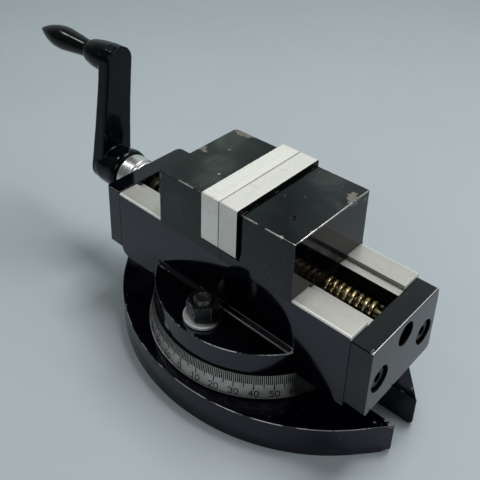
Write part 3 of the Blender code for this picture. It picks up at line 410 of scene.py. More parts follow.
M = {
    "enamel": enamel("black_enamel", [(-57.5, -38.6, 55.0, 1.0, 1.2), (57.0, -38.9, 55.0, 1.1, 1.4)], base=(0.0008, 0.0008, 0.0026), haze=(0.0036, 0.0040, 0.0064), spots=0.35, spec=0.58, tint=(0.86, 0.86, 1.0),
                      dull=[(58.9, -36.5, 42.0, 7.0), (58.9, -36.5, 47.0, 7.0), (58.9, -36.5, 52.0, 6.0)]),
    "enamel_base": enamel("black_enamel_base", [(115.6, -13.4, 22.0, 2.2, 1.8), (111.6, -13.4, 22.0, 1.0, 1.2), (107.4, -19.0, 22.0, 0.8, 1.0), (108.0, 23.0, 10.0, 1.0, 1.6), (111.0, 19.0, 21.5, 1.1, 1.4),
                                               (-70.0, -59.0, 21.8, 0.9, 1.2), (20.0, -77.8, 22.0, 0.8, 1.2)], base=(0.0009, 0.0007, 0.0038), haze=(0.0030, 0.0028, 0.0066), gloss=0.09, spec=0.46, tint=(0.78, 0.77, 1.0)),
    "enamel_jaw_r": enamel("black_enamel_jaw_right", JAW_R_CHIPS, haze=(0.013, 0.016, 0.015), spots=1.4, spec=0.40, tint=(0.86, 0.93, 1.0),
                           smudge_and_sheen=[(29, 28, 133.3, 15), (39, 20, 133.3, 13), (47, 6, 133.3, 12)]),
    "enamel_jaw_l": enamel("black_enamel_jaw_left", JAW_L_CHIPS, haze=(0.013, 0.016, 0.015), spots=1.4, spec=0.40, tint=(0.84, 1.0, 0.98),
                           smudge_and_sheen=[(-31, -6, 133.3, 15), (-24, -25, 133.3, 13), (-46, 22, 133.3, 16), (-36, -37.4, 112, 16)]),
    "enamel_jaw_r_end": enamel("black_enamel_jaw_right_end", JAW_R_CHIPS, spots=1.0, spec=0.26, dull=[(54.6, -2.0, 94.0, 19.0), (54.6, -20.0, 110.5, 13.0)]),
    "enamel_jaw_l_end": enamel("black_enamel_jaw_left_end", JAW_L_CHIPS, spots=1.0, spec=0.40),
    "enamel_tail": enamel("black_enamel_tail", TAIL_CHIPS, tint=(0.90, 0.92, 1.0)),
    "enamel_crank": enamel("black_enamel_crank", [], gloss=0.10, peel=0.03, spec=0.21, tint=(0.80, 0.95, 1.0)),
    "seam": enamel("black_seam", [], gloss=0.45, spec=0.06),
    "worn_hi": worn_edge("worn_edge_bright", 0.72),
    "worn": worn_edge("worn_edge", 0.45, (0.50, 0.50, 0.48)),
    "worn_lo": worn_edge("worn_edge_faint", 0.14, (0.30, 0.30, 0.29)),
    "rim": worn_edge("worn_flange_rim", 0.24, (0.62, 0.62, 0.60), [(*flange_rim(x), 15.0) for x in (-4, 14)] + [(*flange_rim(x), 14.0) for x in (40, 62, 84, 102)] +
                     [(*flange_rim(x), 9.0) for x in (-34, -58)], 0.16),
    "pad_rim": worn_edge("worn_pad_rim", 0.34, (0.66, 0.66, 0.64), [(*pad_rim(t), 5.0) for t in (22, 26)] + [(*pad_rim(t), 5.5) for t in (49, 53, 57)] +
                         [(*pad_rim(t, 1), 8.0) for t in (10, 30, -40)], 0.26),
    "edge_jaw_r": worn_edge("worn_jaw_edge_right", 0.34, (0.52, 0.51, 0.48), [(54.6, y, 133.3, 12.0) for y in (-24, -8, 10, 28)] +
                            [(40.0, -37.4, 133.3, 9.0), (22.0, -37.4, 133.3, 7.0)], 0.18),
    "edge_jaw_l": worn_edge("worn_jaw_edge_left", 0.26, (0.50, 0.49, 0.47), [(-30.0, -37.4, 133.3, 9.0), (-54.6, 4.0, 133.3, 12.0), (-47.0, 37.4, 133.3, 12.0)], 0.20),
    # painted highlight: the fillet's two edge lines drawn bright in the rubbed-metal pattern, strongest towards +X
    "fillet_edge": worn_edge("painted_highlight_fillet", 0.34, (0.62, 0.62, 0.60), [(x, -38.5, 56.0, 22.0) for x in (30, 42, 54)], 0.30),
    "tail_edge": worn_edge("worn_tail_edge", 0.66, (0.62, 0.62, 0.61), [(108.6, y, 90.4, 9.0) for y in (-34, -18, 2, 20)], 0.22),
    # the two jaw plates are lit and shaded copies of one ground steel: the left painted lighter, the right darker
    "plate": ground("ground_plate", (0.90, 0.88, 0.83), "Y", 0.38, metal=0.40, stain=0.72),
    "plate_r": ground("ground_plate_right_shaded", (0.80, 0.785, 0.74), "Y", 0.40, metal=0.36, stain=0.80),
    "way": ground("ground_way", (0.50, 0.49, 0.46), "X", 0.36, metal=0.42, stain=0.30, fine=0.35),
    "way_edge": ground("ground_way_edge", (0.84, 0.84, 0.80), "X", 0.42, metal=0.20, stain=0.30, fine=0.35),
    # painted shade: a darker copy of the ground steel for the inward step faces between the ways and the ledges
    "step": ground("ground_step_painted_shade", (0.30, 0.30, 0.285), "X", 0.40, stain=0.4),
    "collar": turned("turned_collar", (0.84, 0.835, 0.82), 0.36),
    "thread": greased_thread("greased_thread"),
    "shaft": turned("turned_shaft", (0.42, 0.41, 0.38), 0.26),
    "bronze": turned("bronze_bush", (0.50, 0.33, 0.15), 0.30),
    # painted shade: a darkened copy of the bronze for the drive bush, seen in the gap between the drive plate and the
    # left jaw
    "bronze_dark": turned("bronze_bush_painted_shade", (0.10, 0.075, 0.045), 0.36),
    "oxide": oxide("black_oxide"),
    "nut_black": oxide("nut_oxide", (0.012, 0.014, 0.015), (0.12, 0.12, 0.12), 0.30),
    "stud": oxide("stud_oxide", (0.045, 0.048, 0.045), (0.40, 0.40, 0.38), 0.30),
    "nut_side": worn_edge("nut_corner", 0.50, (0.14, 0.14, 0.14)),
    "nut_edge": worn_edge("nut_edge", 0.70, (0.34, 0.35, 0.34)),
    "zinc": zinc("zinc_washer"),
    # the front washer is painted near black as shade between its nut and the side of the bed
    "zinc_front": zinc("zinc_washer_front", [(6.5, -43.5, 57.0, 21.0)]),
    "dial": dial_metal("dial_ring"),
    "mark": mark_paint("dial_marks"),
    "dark": dark_cast("dark_cast"),
    "grip": phenolic("black_grip"),
    "inside": dark_cast("dark_channel", (0.0022, 0.0022, 0.0024), (0.010, 0.0095, 0.009), 0.10, 0.0),
    # painted shade: near black for the counterbores of the tail plate and the dents in the jaw tops
    "black_hole": oxide("black_counterbore_painted_shade", (0.004, 0.004, 0.004), (0.02, 0.02, 0.02), 0.5, 0.10),
    # painted shade: a darker copy of the black oxide for screw heads sunk in counterbores and for the counterbores of
    # the jaw plates
    "screw_black": oxide("black_screw_head_painted_shade", (0.006, 0.006, 0.007), (0.04, 0.04, 0.04), 0.34, 0.12),
}


# ================================================================== mesh helpers
def raw(name, bm, slots=6):
    me = bpy.data.meshes.new(name)
    bm.to_mesh(me)
    bm.free()
    for _ in range(slots):
        me.materials.append(None)
    ob = bpy.data.objects.new(name, me)
    scene.collection.objects.link(ob)
    return ob


def prism(pts, z0, z1, axes="XYZ"):
    bm = bmesh.new()
    ia, ib, ic = ("XYZ".index(c) for c in axes)

    def put(a, b, c):
        v = [0.0, 0.0, 0.0]
        v[ia], v[ib], v[ic] = a, b, c
        return bm.verts.new(v)

    lo = [put(a, b, z0) for a, b in pts]
    hi = [put(a, b, z1) for a, b in pts]
    n = len(pts)
    bm.faces.new(lo[::-1])
    bm.faces.new(hi)
    for i in range(n):
        j = (i + 1) % n
        bm.faces.new((lo[i], lo[j], hi[j], hi[i]))
    bmesh.ops.recalc_face_normals(bm, faces=bm.faces)
    return bm


def turn(u, v, h, axis, c):
    p = (u, v, h) if axis == "Z" else (h, u, v) if axis == "X" else (v, h, u)
    return (p[0] + c[0], p[1] + c[1], p[2] + c[2])


def lathe(profile, axis="Z", segs=96, centre=(0.0, 0.0, 0.0), start=0.0):
    bm = bmesh.new()
    rings = []
    for r, h in profile:
        if r < 1e-6:
            rings.append([bm.verts.new(turn(0, 0, h, axis, centre))] * segs)
        else:
            rings.append([bm.verts.new(turn(r * math.cos(start + 2 * math.pi * k / segs), r * math.sin(start + 2 * math.pi * k / segs), h, axis, centre))
                          for k in range(segs)])
    n = len(profile)
    for i in range(n):
        a, b = rings[i], rings[(i + 1) % n]
        if a[0] is a[1] and b[0] is b[1]:
            continue
        for k in range(segs):
            j = (k + 1) % segs
            q = []
            for v in (a[k], a[j], b[j], b[k]):
                if v not in q:
                    q.append(v)
            if len(q) > 2:
                bm.faces.new(q)
    bmesh.ops.recalc_face_normals(bm, faces=bm.faces)
    return bm


def cyl(r, h0, h1, axis="Z", centre=(0, 0, 0), segs=64):
    return lathe([(0, h0), (r, h0), (r, h1), (0, h1)], axis, segs, centre)


def box(x0, x1, y0, y1, z0, z1):
    return prism([(x0, y0), (x1, y0), (x1, y1), (x0, y1)], z0, z1)


def arc(cx, cy, r, a0, a1, n):
    return [(cx + r * math.cos(math.radians(a0 + (a1 - a0) * i / n)), cy + r * math.sin(math.radians(a0 + (a1 - a0) * i / n)))
            for i in range(n + 1)]


def round_corner(profile, r, which, n=4):
    """Rounds some corners of a (radius, height) profile with small arcs."""
    out = []
    m = len(profile)
    for i, p in enumerate(profile):
        if i not in which:
            out.append(p)
            continue
        a, b = Vector(profile[i - 1]), Vector(profile[(i + 1) % m])
        c = Vector(p)
        u, v = (a - c).normalized(), (b - c).normalized()
        half = math.acos(max(-1, min(1, u.dot(v)))) / 2
        d = min(r / math.tan(half), (a - c).length * 0.45, (b - c).length * 0.45)
        rr = d * math.tan(half)
        centre = c + (u + v).normalized() * (rr / math.sin(half))
        s, e = c + u * d - centre, c + v * d - centre
        a0 = math.atan2(s.y, s.x)
        da = math.atan2(s.x * e.y - s.y * e.x, s.dot(e))
        out += [tuple(centre + Vector((math.cos(a0 + da * k / n), math.sin(a0 + da * k / n))) * rr) for k in range(n + 1)]
    return out


def apply_mods(ob):
    dg = bpy.context.evaluated_depsgraph_get()
    me = bpy.data.meshes.new_from_object(ob.evaluated_get(dg), preserve_all_data_layers=True, depsgraph=dg)
    ob.modifiers.clear()
    old = ob.data
    ob.data = me
    bpy.data.meshes.remove(old)


def tint(ob_or_bm, idx):
    if isinstance(ob_or_bm, bmesh.types.BMesh):
        for f in ob_or_bm.faces:
            f.material_index = idx
        return ob_or_bm
    for p in ob_or_bm.data.polygons:
        p.material_index = idx
    return ob_or_bm


def boolean(ob, others, op, idx=None, solver="EXACT"):
    for o in others:
        if isinstance(o, bmesh.types.BMesh):
            if idx is not None:
                tint(o, idx)
            o = raw("tool", o)
        md = ob.modifiers.new("op", "BOOLEAN")
        md.operation = op
        md.solver = solver
        md.object = o
        apply_mods(ob)
        bpy.data.objects.remove(o, do_unlink=True)
    return ob


def cut(ob, others, idx=None, solver="EXACT"):
    return boolean(ob, others, "DIFFERENCE", idx, solver)


def join(ob, others, idx=None):
    return boolean(ob, others, "UNION", idx)


def edge_bevel(ob, width, idx=1, segs=3, angle=35.0, pick=None, profile=0.5):
    """Rounds the sharp edges that pick() accepts and gives the new faces material idx."""
    bm = bmesh.new()
    bm.from_mesh(ob.data)
    bmesh.ops.remove_doubles(bm, verts=bm.verts, dist=1e-4)
    lim = math.radians(angle)
    es = []
    for e in bm.edges:
        if len(e.link_faces) == 2 and e.calc_face_angle(0) > lim:
            if pick is None or pick((e.verts[0].co + e.verts[1].co) / 2, e):
                es.append(e)
    bmesh.ops.bevel(bm, geom=es, offset=width, offset_type="OFFSET", segments=segs, profile=profile, affect="EDGES",
                    clamp_overlap=True, material=idx, loop_slide=True)
    bm.to_mesh(ob.data)
    bm.free()
    return ob


def paint(ob, rule):
    """rule(centre, normal, current index) gives each face its material index."""
    for p in ob.data.polygons:
        p.material_index = rule(p.center, p.normal, p.material_index)
    return ob


MADE = []


def finish(ob, body, mats, replaces=(), sharp=32.0, weighted=True, name=None):
    me = ob.data
    if name:
        ob.name = name
    me.name = ob.name
    me.transform(Matrix.Scale(MM, 4))
    while len(me.materials) < len(mats):
        me.materials.append(None)
    for p in me.polygons:
        if p.material_index >= len(mats):
            p.material_index = 0
    while len(me.materials) > len(mats):
        me.materials.pop(index=len(me.materials) - 1)
    for i, m in enumerate(mats):
        me.materials[i] = M[m]
    me.shade_smooth()
    me.set_sharp_from_angle(angle=math.radians(sharp))
    if weighted:
        md = ob.modifiers.new("wn", "WEIGHTED_NORMAL")
        md.keep_sharp = True
        md.weight = 60
    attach(ob, body)
    if replaces:
        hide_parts(*replaces)
    MADE.append(ob)
    return ob


def tilted(bm):
    bmesh.ops.transform(bm, matrix=Matrix.Translation((0, 0, AXIS_Z)) @ Matrix.Rotation(-TILT, 4, "X") @ Matrix.Translation((0, 0, -AXIS_Z)),
                        verts=bm.verts)
    return bm


# ================================================================== swivel base
off = FLANGE_ARC_R - FLANGE_HALF_W
TIP_GROW = 1.9


def side_arc(sign, n):
    y_end = SLOT_HALF_W + 1.0
    x_end = math.sqrt(FLANGE_ARC_R ** 2 - (off + y_end) ** 2)
    a = math.asin(x_end / FLANGE_ARC_R)
    return [(FLANGE_ARC_R * math.sin(-a + 2 * a * i / n), sign * (FLANGE_ARC_R * math.cos(-a + 2 * a * i / n) - off)) for i in range(n + 1)]


mouth_x = math.sqrt(FLANGE_ARC_R ** 2 - (off + SLOT_HALF_W) ** 2)
tipc = [(mouth_x - 0.02, SLOT_HALF_W + 0.9), (mouth_x - 0.14, SLOT_HALF_W + 0.45), (mouth_x - 0.5, SLOT_HALF_W + 0.12), (mouth_x - 1.0, SLOT_HALF_W)]
NA = 110
o = side_arc(-1, NA) + [(x, -y) for x, y in tipc] + arc(SLOT_END_X, 0, SLOT_HALF_W, -90, -270, 36) + [(x, y) for x, y in tipc[::-1]]
o += side_arc(1, NA)[::-1] + [(-x, y) for x, y in tipc] + arc(-SLOT_END_X, 0, SLOT_HALF_W, 90, -90, 36) + [(-x, -y) for x, y in tipc[::-1]]
bm = prism(o, 0.0, FLANGE_H)
for z in (0.35, 1.0, 2.0, 3.4, FLANGE_H - 1.6):
    bmesh.ops.bisect_plane(bm, geom=list(bm.verts) + list(bm.edges) + list(bm.faces), plane_co=(0, 0, z), plane_no=(0, 0, 1))
for v in bm.verts:
    ax, ay = abs(v.co.x), abs(v.co.y)
    if ax < 90.0 or (ax < mouth_x - 3.0 and ay < SLOT_HALF_W + 0.1):
        continue
    # the cast tips run out a little past the arc and round off at the foot
    grow = TIP_GROW * max(0.0, 1.0 - (ay - SLOT_HALF_W) / 17.0) ** 1.6
    t = max(0.0, min(1.0, (ax - (mouth_x - 2.6)) / 2.2))
    foot = 3.4 - math.sqrt(max(0.0, 3.4 ** 2 - max(0.0, 3.4 - v.co.z) ** 2))
    v.co.x = math.copysign(ax + grow - foot * 0.85 * t, v.co.x)
base = raw("swivel_base_cast", bm)
edge_bevel(base, 0.42, 1, 3, 40, pick=lambda c, e: c.z > FLANGE_H - 0.1 and abs(e.verts[0].co.z - e.verts[1].co.z) < 0.1)
edge_bevel(base, 0.7, 0, 2, 60, pick=lambda c, e: c.z < 0.1 and abs(e.verts[0].co.z - e.verts[1].co.z) < 0.1)
join(base, [lathe([(0, 6), (DRUM_R, 6), (DRUM_R, DRUM_TOP - 0.4), (DRUM_R - 0.4, DRUM_TOP), (0, DRUM_TOP)], segs=160)], 3)
cut(base, [lathe([(TSLOT_R - TSLOT_NECK, DRUM_TOP + 2), (TSLOT_R - TSLOT_NECK, TSLOT_ROOF), (TSLOT_R - TSLOT_WIDE, TSLOT_ROOF),
                  (TSLOT_R - TSLOT_WIDE, TSLOT_FLOOR), (TSLOT_R + TSLOT_WIDE, TSLOT_FLOOR), (TSLOT_R + TSLOT_WIDE, TSLOT_ROOF),
                  (TSLOT_R + TSLOT_NECK, TSLOT_ROOF), (TSLOT_R + TSLOT_NECK, DRUM_TOP + 2)], segs=120),
           box(TSLOT_R - 9.8, TSLOT_R + 9.8, -9.8, 9.8, TSLOT_ROOF - 2, DRUM_TOP + 2),
           cyl(PIVOT_R + GAP, 6.0, DRUM_TOP + 2, segs=96)], 3)
finish(base, "base", ["enamel_base", "rim", "worn", "dark"], ["swivel_base"])

# ================================================================== graduated ring
cone = lambda z: RING_FOOT_R + (RING_TOP_R - RING_FOOT_R) * (z - RING_Z0) / (RING_Z1 - RING_Z0)
prof = [(RING_IN_R, RING_Z0), (RING_FOOT_R - 0.5, RING_Z0), (RING_FOOT_R - 0.1, RING_Z0 + 0.35), (cone(23.7), 23.7), (cone(23.8) - 0.45, 23.85),
        (cone(24.35) - 0.45, 24.35), (cone(24.5), 24.5), (cone(38.5), 38.5), (RING_TOP_R - 0.12, RING_Z1 - 0.22), (RING_TOP_R - 0.35, RING_Z1 - 0.05), (RING_TOP_R - 0.9, RING_Z1), (RING_IN_R, RING_Z1)]
ring = raw("dial_ring", lathe(prof, segs=288))
paint(ring, lambda c, n, i: 1 if (23.78 < c.z < 24.42 or c.z > 38.7) else 0)
finish(ring, "base", ["dial", "mark"], ["graduated_ring"], sharp=40)

# marks: each a thin bar that follows the cone
RING_H = RING_Z1 - RING_Z0


def on_cone(theta, z, lift):
    r = cone(z) + lift
    return (r * math.sin(theta), -r * math.cos(theta), z)


bm = bmesh.new()
rng = random.Random(4)
for deg in range(360):
    if deg % 10 == 0:
        depth, w = 0.60, 0.35
    elif deg % 5 == 0:
        depth, w = 0.52, 0.34
    else:
        depth, w = 0.37, 0.39
    zt, zb = RING_Z1 - 0.32, RING_Z1 - depth * RING_H + rng.uniform(-0.12, 0.12)
    th = math.radians(deg + DIAL_TURN)
    layers = []
    for lift in (-0.12, 0.035):
        row = []
        for z in (zt, (zt + zb) / 2, zb):
            dw = w / cone(z)
            row.append((bm.verts.new(on_cone(th - dw, z, lift)), bm.verts.new(on_cone(th + dw, z, lift))))
        layers.append(row)
    lo, hi = layers
    for i in range(2):
        bm.faces.new((hi[i][0], hi[i + 1][0], hi[i + 1][1], hi[i][1]))
        bm.faces.new((lo[i][1], lo[i + 1][1], lo[i + 1][0], lo[i][0]))
        bm.faces.new((lo[i][0], lo[i + 1][0], hi[i + 1][0], hi[i][0]))
        bm.faces.new((hi[i][1], hi[i + 1][1], lo[i + 1][1], lo[i][1]))
    bm.faces.new((lo[0][0], hi[0][0], hi[0][1], lo[0][1]))
    bm.faces.new((hi[2][0], lo[2][0], lo[2][1], hi[2][1]))
bmesh.ops.recalc_face_normals(bm, faces=bm.faces)
finish(raw("dial_marks", bm), "base", ["mark"], weighted=False)

# numbers: stroke digits, each stroke a thin rounded bar bent round the cone
S = {  # digits on a 4 by 6 grid of points
    "0": [[(0, 1.6), (0, 4.4), (0.5, 5.5), (2, 6), (3.5, 5.5), (4, 4.4), (4, 1.6), (3.5, 0.5), (2, 0), (0.5, 0.5), (0, 1.6)]],
    "1": [[(0.6, 4.9), (2, 6), (2, 0)], [(0.7, 0), (3.3, 0)]],
    "2": [[(0, 4.6), (0.5, 5.6), (2, 6), (3.5, 5.6), (4, 4.5), (3.6, 3.4), (0, 0), (4, 0)]],
    "3": [[(0, 5.1), (0.7, 5.8), (2, 6), (3.4, 5.6), (3.9, 4.6), (3.3, 3.5), (2, 3.2), (3.4, 2.9), (4, 1.7), (3.5, 0.5), (2, 0), (0.6, 0.3), (0, 1.1)]],
    "4": [[(3.1, 0), (3.1, 6), (0, 1.9), (4.2, 1.9)]],
    "5": [[(3.8, 6), (0.5, 6), (0.3, 3.4), (1.6, 3.8), (3.2, 3.4), (4, 2.1), (3.5, 0.6), (2, 0), (0.6, 0.3), (0, 1.2)]],
    "6": [[(3.7, 5.3), (2.8, 5.9), (1.6, 5.9), (0.5, 5.0), (0, 3.2), (0, 1.8), (0.6, 0.5), (2, 0), (3.4, 0.5), (4, 1.8), (3.4, 3.1), (2, 3.6), (0.6, 3.1), (0, 1.9)]],
    "7": [[(0, 6), (4, 6), (1.5, 0)]],
    "8": [[(2, 3.3), (0.6, 3.8), (0.2, 4.7), (0.8, 5.7), (2, 6), (3.2, 5.7), (3.8, 4.7), (3.4, 3.8), (2, 3.3), (0.5, 2.7), (0, 1.6), (0.6, 0.4), (2, 0),
           (3.4, 0.4), (4, 1.6), (3.5, 2.7), (2, 3.3)]],
    "9": [[(0.3, 0.7), (1.2, 0.1), (2.4, 0.1), (3.5, 1.0), (4, 2.8), (4, 4.2), (3.4, 5.5), (2, 6), (0.6, 5.5), (0, 4.2), (0.6, 2.9), (2, 2.4), (3.4, 2.9), (4, 4.1)]],
}


def stroke(bm, pts, w, place):
    """A bar of half width w along a polyline; place(x, y, lift) puts a flat point on the ring."""
    n = len(pts)
    rows = []
    for i, p in enumerate(pts):
        a = Vector(pts[max(0, i - 1)])
        b = Vector(pts[min(n - 1, i + 1)])
        if (b - a).length < 1e-6:
            b = Vector(p) + (Vector(p) - a)
        d = (b - a).normalized()
        nrm = Vector((-d.y, d.x))
        k = 1.0
        if 0 < i < n - 1:
            d1 = (Vector(p) - Vector(pts[i - 1])).normalized()
            k = 1.0 / max(0.55, abs(Vector((-d1.y, d1.x)).dot(nrm)))
        ext = d * (w * (-1 if i == 0 else 1 if i == n - 1 else 0)) * 0.8
        q = Vector(p) + ext
        rows.append([bm.verts.new(place(*(q + nrm * (w * k * s)), lift)) for lift in (0.035, -0.10) for s in (-1, 1)])
    for a, b in zip(rows, rows[1:]):
        bm.faces.new((a[0], b[0], b[1], a[1]))
        bm.faces.new((a[3], b[3], b[2], a[2]))
        bm.faces.new((a[2], b[2], b[0], a[0]))
        bm.faces.new((a[1], b[1], b[3], a[3]))
    bm.faces.new((rows[0][0], rows[0][1], rows[0][3], rows[0][2]))
    bm.faces.new((rows[-1][2], rows[-1][3], rows[-1][1], rows[-1][0]))


bm = bmesh.new()
DIG_H = 3.7
UNIT = DIG_H / 6.0
for tens in range(0, 360, 10):
    folded = tens % 180
    value = folded if folded <= 90 else 180 - folded
    text = str(value)
    jitter = rng.uniform(-0.25, 0.25)
    wd = len(text) * 4.0 * UNIT + (len(text) - 1) * 1.7 * UNIT
    z_base = 24.95 + rng.uniform(-0.12, 0.12)
    for i, ch in enumerate(text):
        x0 = -wd / 2 + i * (4.0 + 1.7) * UNIT + jitter

        def place(x, y, lift, x0=x0, tens=tens, zb=z_base):
            z = zb + y * UNIT
            return on_cone(math.radians(tens + DIAL_TURN) + (x0 + x * UNIT) / cone(z), z, lift)

        for line in S[ch]:
            fine = []
            for a, b in zip(line, line[1:]):
                m = max(1, int((Vector(b) - Vector(a)).length / 1.6))
                fine += [tuple(Vector(a).lerp(Vector(b), t / m)) for t in range(m)]
            fine.append(line[-1])
            stroke(bm, fine, 0.31 / UNIT, place)
bmesh.ops.recalc_face_normals(bm, faces=bm.faces)
finish(raw("dial_numbers", bm), "base", ["mark"], weighted=False)


# ================================================================== bed
def bed_section(z0):
    return [(-BED_HALF_W, z0), (BED_HALF_W, z0), (BED_HALF_W, WAY_Z), (WAY_IN, WAY_Z), (WAY_IN, LEDGE_Z), (CHAN_HALF, LEDGE_Z), (CHAN_HALF, UNDER_Z1),
            (UNDER_HALF, UNDER_Z1), (UNDER_HALF, CHAN_FLOOR), (-UNDER_HALF, CHAN_FLOOR), (-UNDER_HALF, UNDER_Z1), (-CHAN_HALF, UNDER_Z1),
            (-CHAN_HALF, LEDGE_Z), (-WAY_IN, LEDGE_Z), (-WAY_IN, WAY_Z), (-BED_HALF_W, WAY_Z)]


bm = bmesh.new()
loops = []
for x, z0 in ((BED_X0, BED_Z0 + 6.0), (BED_X0 + 0.5, BED_Z0 + 4.0), (BED_X0 + 1.5, BED_Z0 + 2.2), (BED_X0 + 3.1, BED_Z0 + 0.8), (BED_X0 + 5.4, BED_Z0),
              (BED_X1, BED_Z0)):
    loops.append([bm.verts.new((x, y, z)) for y, z in bed_section(z0)])
for a, b in zip(loops, loops[1:]):
    for i in range(len(a)):
        j = (i + 1) % len(a)
        bm.faces.new((a[i], a[j], b[j], b[i]))
bm.faces.new(loops[0])
bm.faces.new(loops[-1][::-1])
bmesh.ops.recalc_face_normals(bm, faces=bm.faces)
bed = raw("bed_casting", bm)
edge_bevel(bed, 1.25, 9, 3, 40, pick=lambda c, e: abs(abs(c.y) - BED_HALF_W) < 0.05 and abs(c.z - WAY_Z) < 0.05)
edge_bevel(bed, 0.30, 9, 2, 40, pick=lambda c, e: c.x > BED_X1 - 0.05 and abs(c.z - WAY_Z) < 0.05 and abs(c.y) > WAY_IN - 0.1)
edge_bevel(bed, 0.3, 8, 2, 40, pick=lambda c, e: abs(abs(c.y) - BED_HALF_W) < 0.05 and c.x < BED_X0 + 0.1 and abs(e.verts[0].co.z - e.verts[1].co.z) > 8)
edge_bevel(bed, 0.25, 2, 2, 40, pick=lambda c, e: abs(abs(c.y) - WAY_IN) < 0.05 and abs(c.z - WAY_Z) < 0.05)
edge_bevel(bed, 0.7, 2, 2, 60, pick=lambda c, e: abs(abs(c.y) - BED_HALF_W) < 0.05 and c.z < BED_Z0 + 7)
disc = raw("disc", lathe(round_corner([(0, TURRET_Z0), (TURRET_R, TURRET_Z0), (TURRET_R, TURRET_TOP), (0, TURRET_TOP)], 0.36, (1, 2), 4), segs=240))
paint(disc, lambda c, n, i: 4 if (abs(n.z) > 0.12 and abs(n.z) < 0.99) else 0)
join(bed, [disc])
# the concave fillet between the pads and the side of the bed
R = 3.0
for s in (-1, 1):
    sec = [(s * (BED_HALF_W - 0.6), TURRET_TOP - 0.6), (s * (BED_HALF_W + R), TURRET_TOP - 0.6), (s * (BED_HALF_W + R), TURRET_TOP + 0.02)]
    sec += [(s * (BED_HALF_W + R - R * math.sin(math.radians(t))), TURRET_TOP + R - R * math.cos(math.radians(t))) for t in range(10, 90, 10)]
    sec += [(s * (BED_HALF_W + 0.02), TURRET_TOP + R), (s * (BED_HALF_W - 0.6), TURRET_TOP + R)]
    if s > 0:
        sec = sec[::-1]
    fil = raw("fillet", prism(sec, -58.6, 58.6, "YZX"))
    boolean(fil, [cyl(TURRET_R - 0.5, 50, 62, segs=240)], "INTERSECT")
    tint(fil, 5)
    join(bed, [fil])
join(bed, [cyl(PIVOT_R, 14.0, BED_Z0 + 4.0, segs=96)], 3)
cut(bed, [cyl(6.4, BED_Z0 - 3, TURRET_TOP + 3, centre=(0, s * TSLOT_R, 0), segs=44) for s in (-1, 1)] +
    [cyl(4.25, BED_X1 - 15, BED_X1 + 2, "X", (0, s * PS_Y, PS_Z), 32) for s in (-1, 1)] +
    [cyl(4.25, BED_X0 - 2, BED_X0 + 15, "X", (0, s * PS_Y, PS_Z), 32) for s in (-1, 1)] +
    [cyl(1.8, 79.0, LEDGE_Z + 2, centre=(0, s * 16.2, 0), segs=24) for s in (-1, 1)], 3)


def bed_rule(c, n, i):
    ay = abs(c.y)
    if i == 4:
        return i if c.z > 50 else 0
    if i == 9 or (c.x > BED_X1 - 0.01 and c.z > PLATE_TOP - 0.3 and ay > WAY_IN - 0.1):
        return 9
    if i == 8:
        return 8
    # the fillet's edge lines take fillet_edge, a painted highlight
    if i == 5:
        return 7 if (abs(n.z) > 0.955 or abs(n.z) < 0.18) else 5
    if ay < BED_HALF_W - 0.3 and c.z > 56 and BED_X0 + 0.01 < c.x < BED_X1 - 0.01:
        if n.z > 0.9 and c.z > WAY_Z - 0.1:
            return 2
        if n.z > 0.9 and abs(c.z - LEDGE_Z) < 0.1:
            return 2
        # the inward step faces take the darker, painted-shade copy of the ground steel
        if ay > WAY_IN - 0.6 and c.z > LEDGE_Z:
            return 6
        if n.z > 0.9 and c.z > WAY_Z - 0.6:
            return 2
        return 3
    return i if i != 2 else 0


bm = bmesh.new()
bm.from_mesh(bed.data)
end = [f for f in bm.faces if f.calc_center_median().x > BED_X1 - 0.01]
geom = end + list({e for f in end for e in f.edges}) + list({v for f in end for v in f.verts})
bmesh.ops.bisect_plane(bm, geom=geom, plane_co=(0, 0, PLATE_TOP - 0.2), plane_no=(0, 0, 1))
bm.to_mesh(bed.data)
bm.free()
paint(bed, bed_rule)
finish(bed, "bed", ["enamel", "worn", "way", "inside", "pad_rim", "enamel", "step", "fillet_edge", "worn", "way_edge"], ["vise_bed"])

# ================================================================== end plates
plan = arc(DRIVE_X0 + 4.5, BED_HALF_W - 4.5, 4.5, 90, 180, 12) + arc(DRIVE_X0 + 2.5, -BED_HALF_W + 2.5, 2.5, 180, 270, 8)
plan += [(BED_X0 - GAP, -BED_HALF_W), (BED_X0 - GAP, BED_HALF_W)]
drive = raw("drive_end_plate", prism(plan, DRIVE_Z0, DRIVE_TOP))
edge_bevel(drive, 0.55, 1, 3, 40)
SCREW_CB = lambda x, d, deep: [(0, x - d * 2), (8.3, x - d * 2), (8.3, x), (7.6 if True else 0, x + d * 0.6), (7.6, x + d * deep), (4.3, x + d * deep), (4.3, x + d * 18), (0, x + d * 18)]
cut(drive, [cyl(11.0, DRIVE_X0 - 2, BED_X0 + 2, "X", (0, 0, AXIS_Z), 80)] +
    [lathe([(0, DRIVE_X0 - 2), (7.5, DRIVE_X0 - 2), (7.5, DRIVE_X0 + 0.05), (7.0, DRIVE_X0 + 0.6), (7.0, DRIVE_X0 + 8.4), (4.3, DRIVE_X0 + 8.4),
            (4.3, BED_X0 + 2), (0, BED_X0 + 2)], "X", 64, (0, s * PS_Y, PS_Z)) for s in (-1, 1)], 2)
finish(drive, "bed", ["enamel", "worn_lo", "dark"], ["drive_plate"])

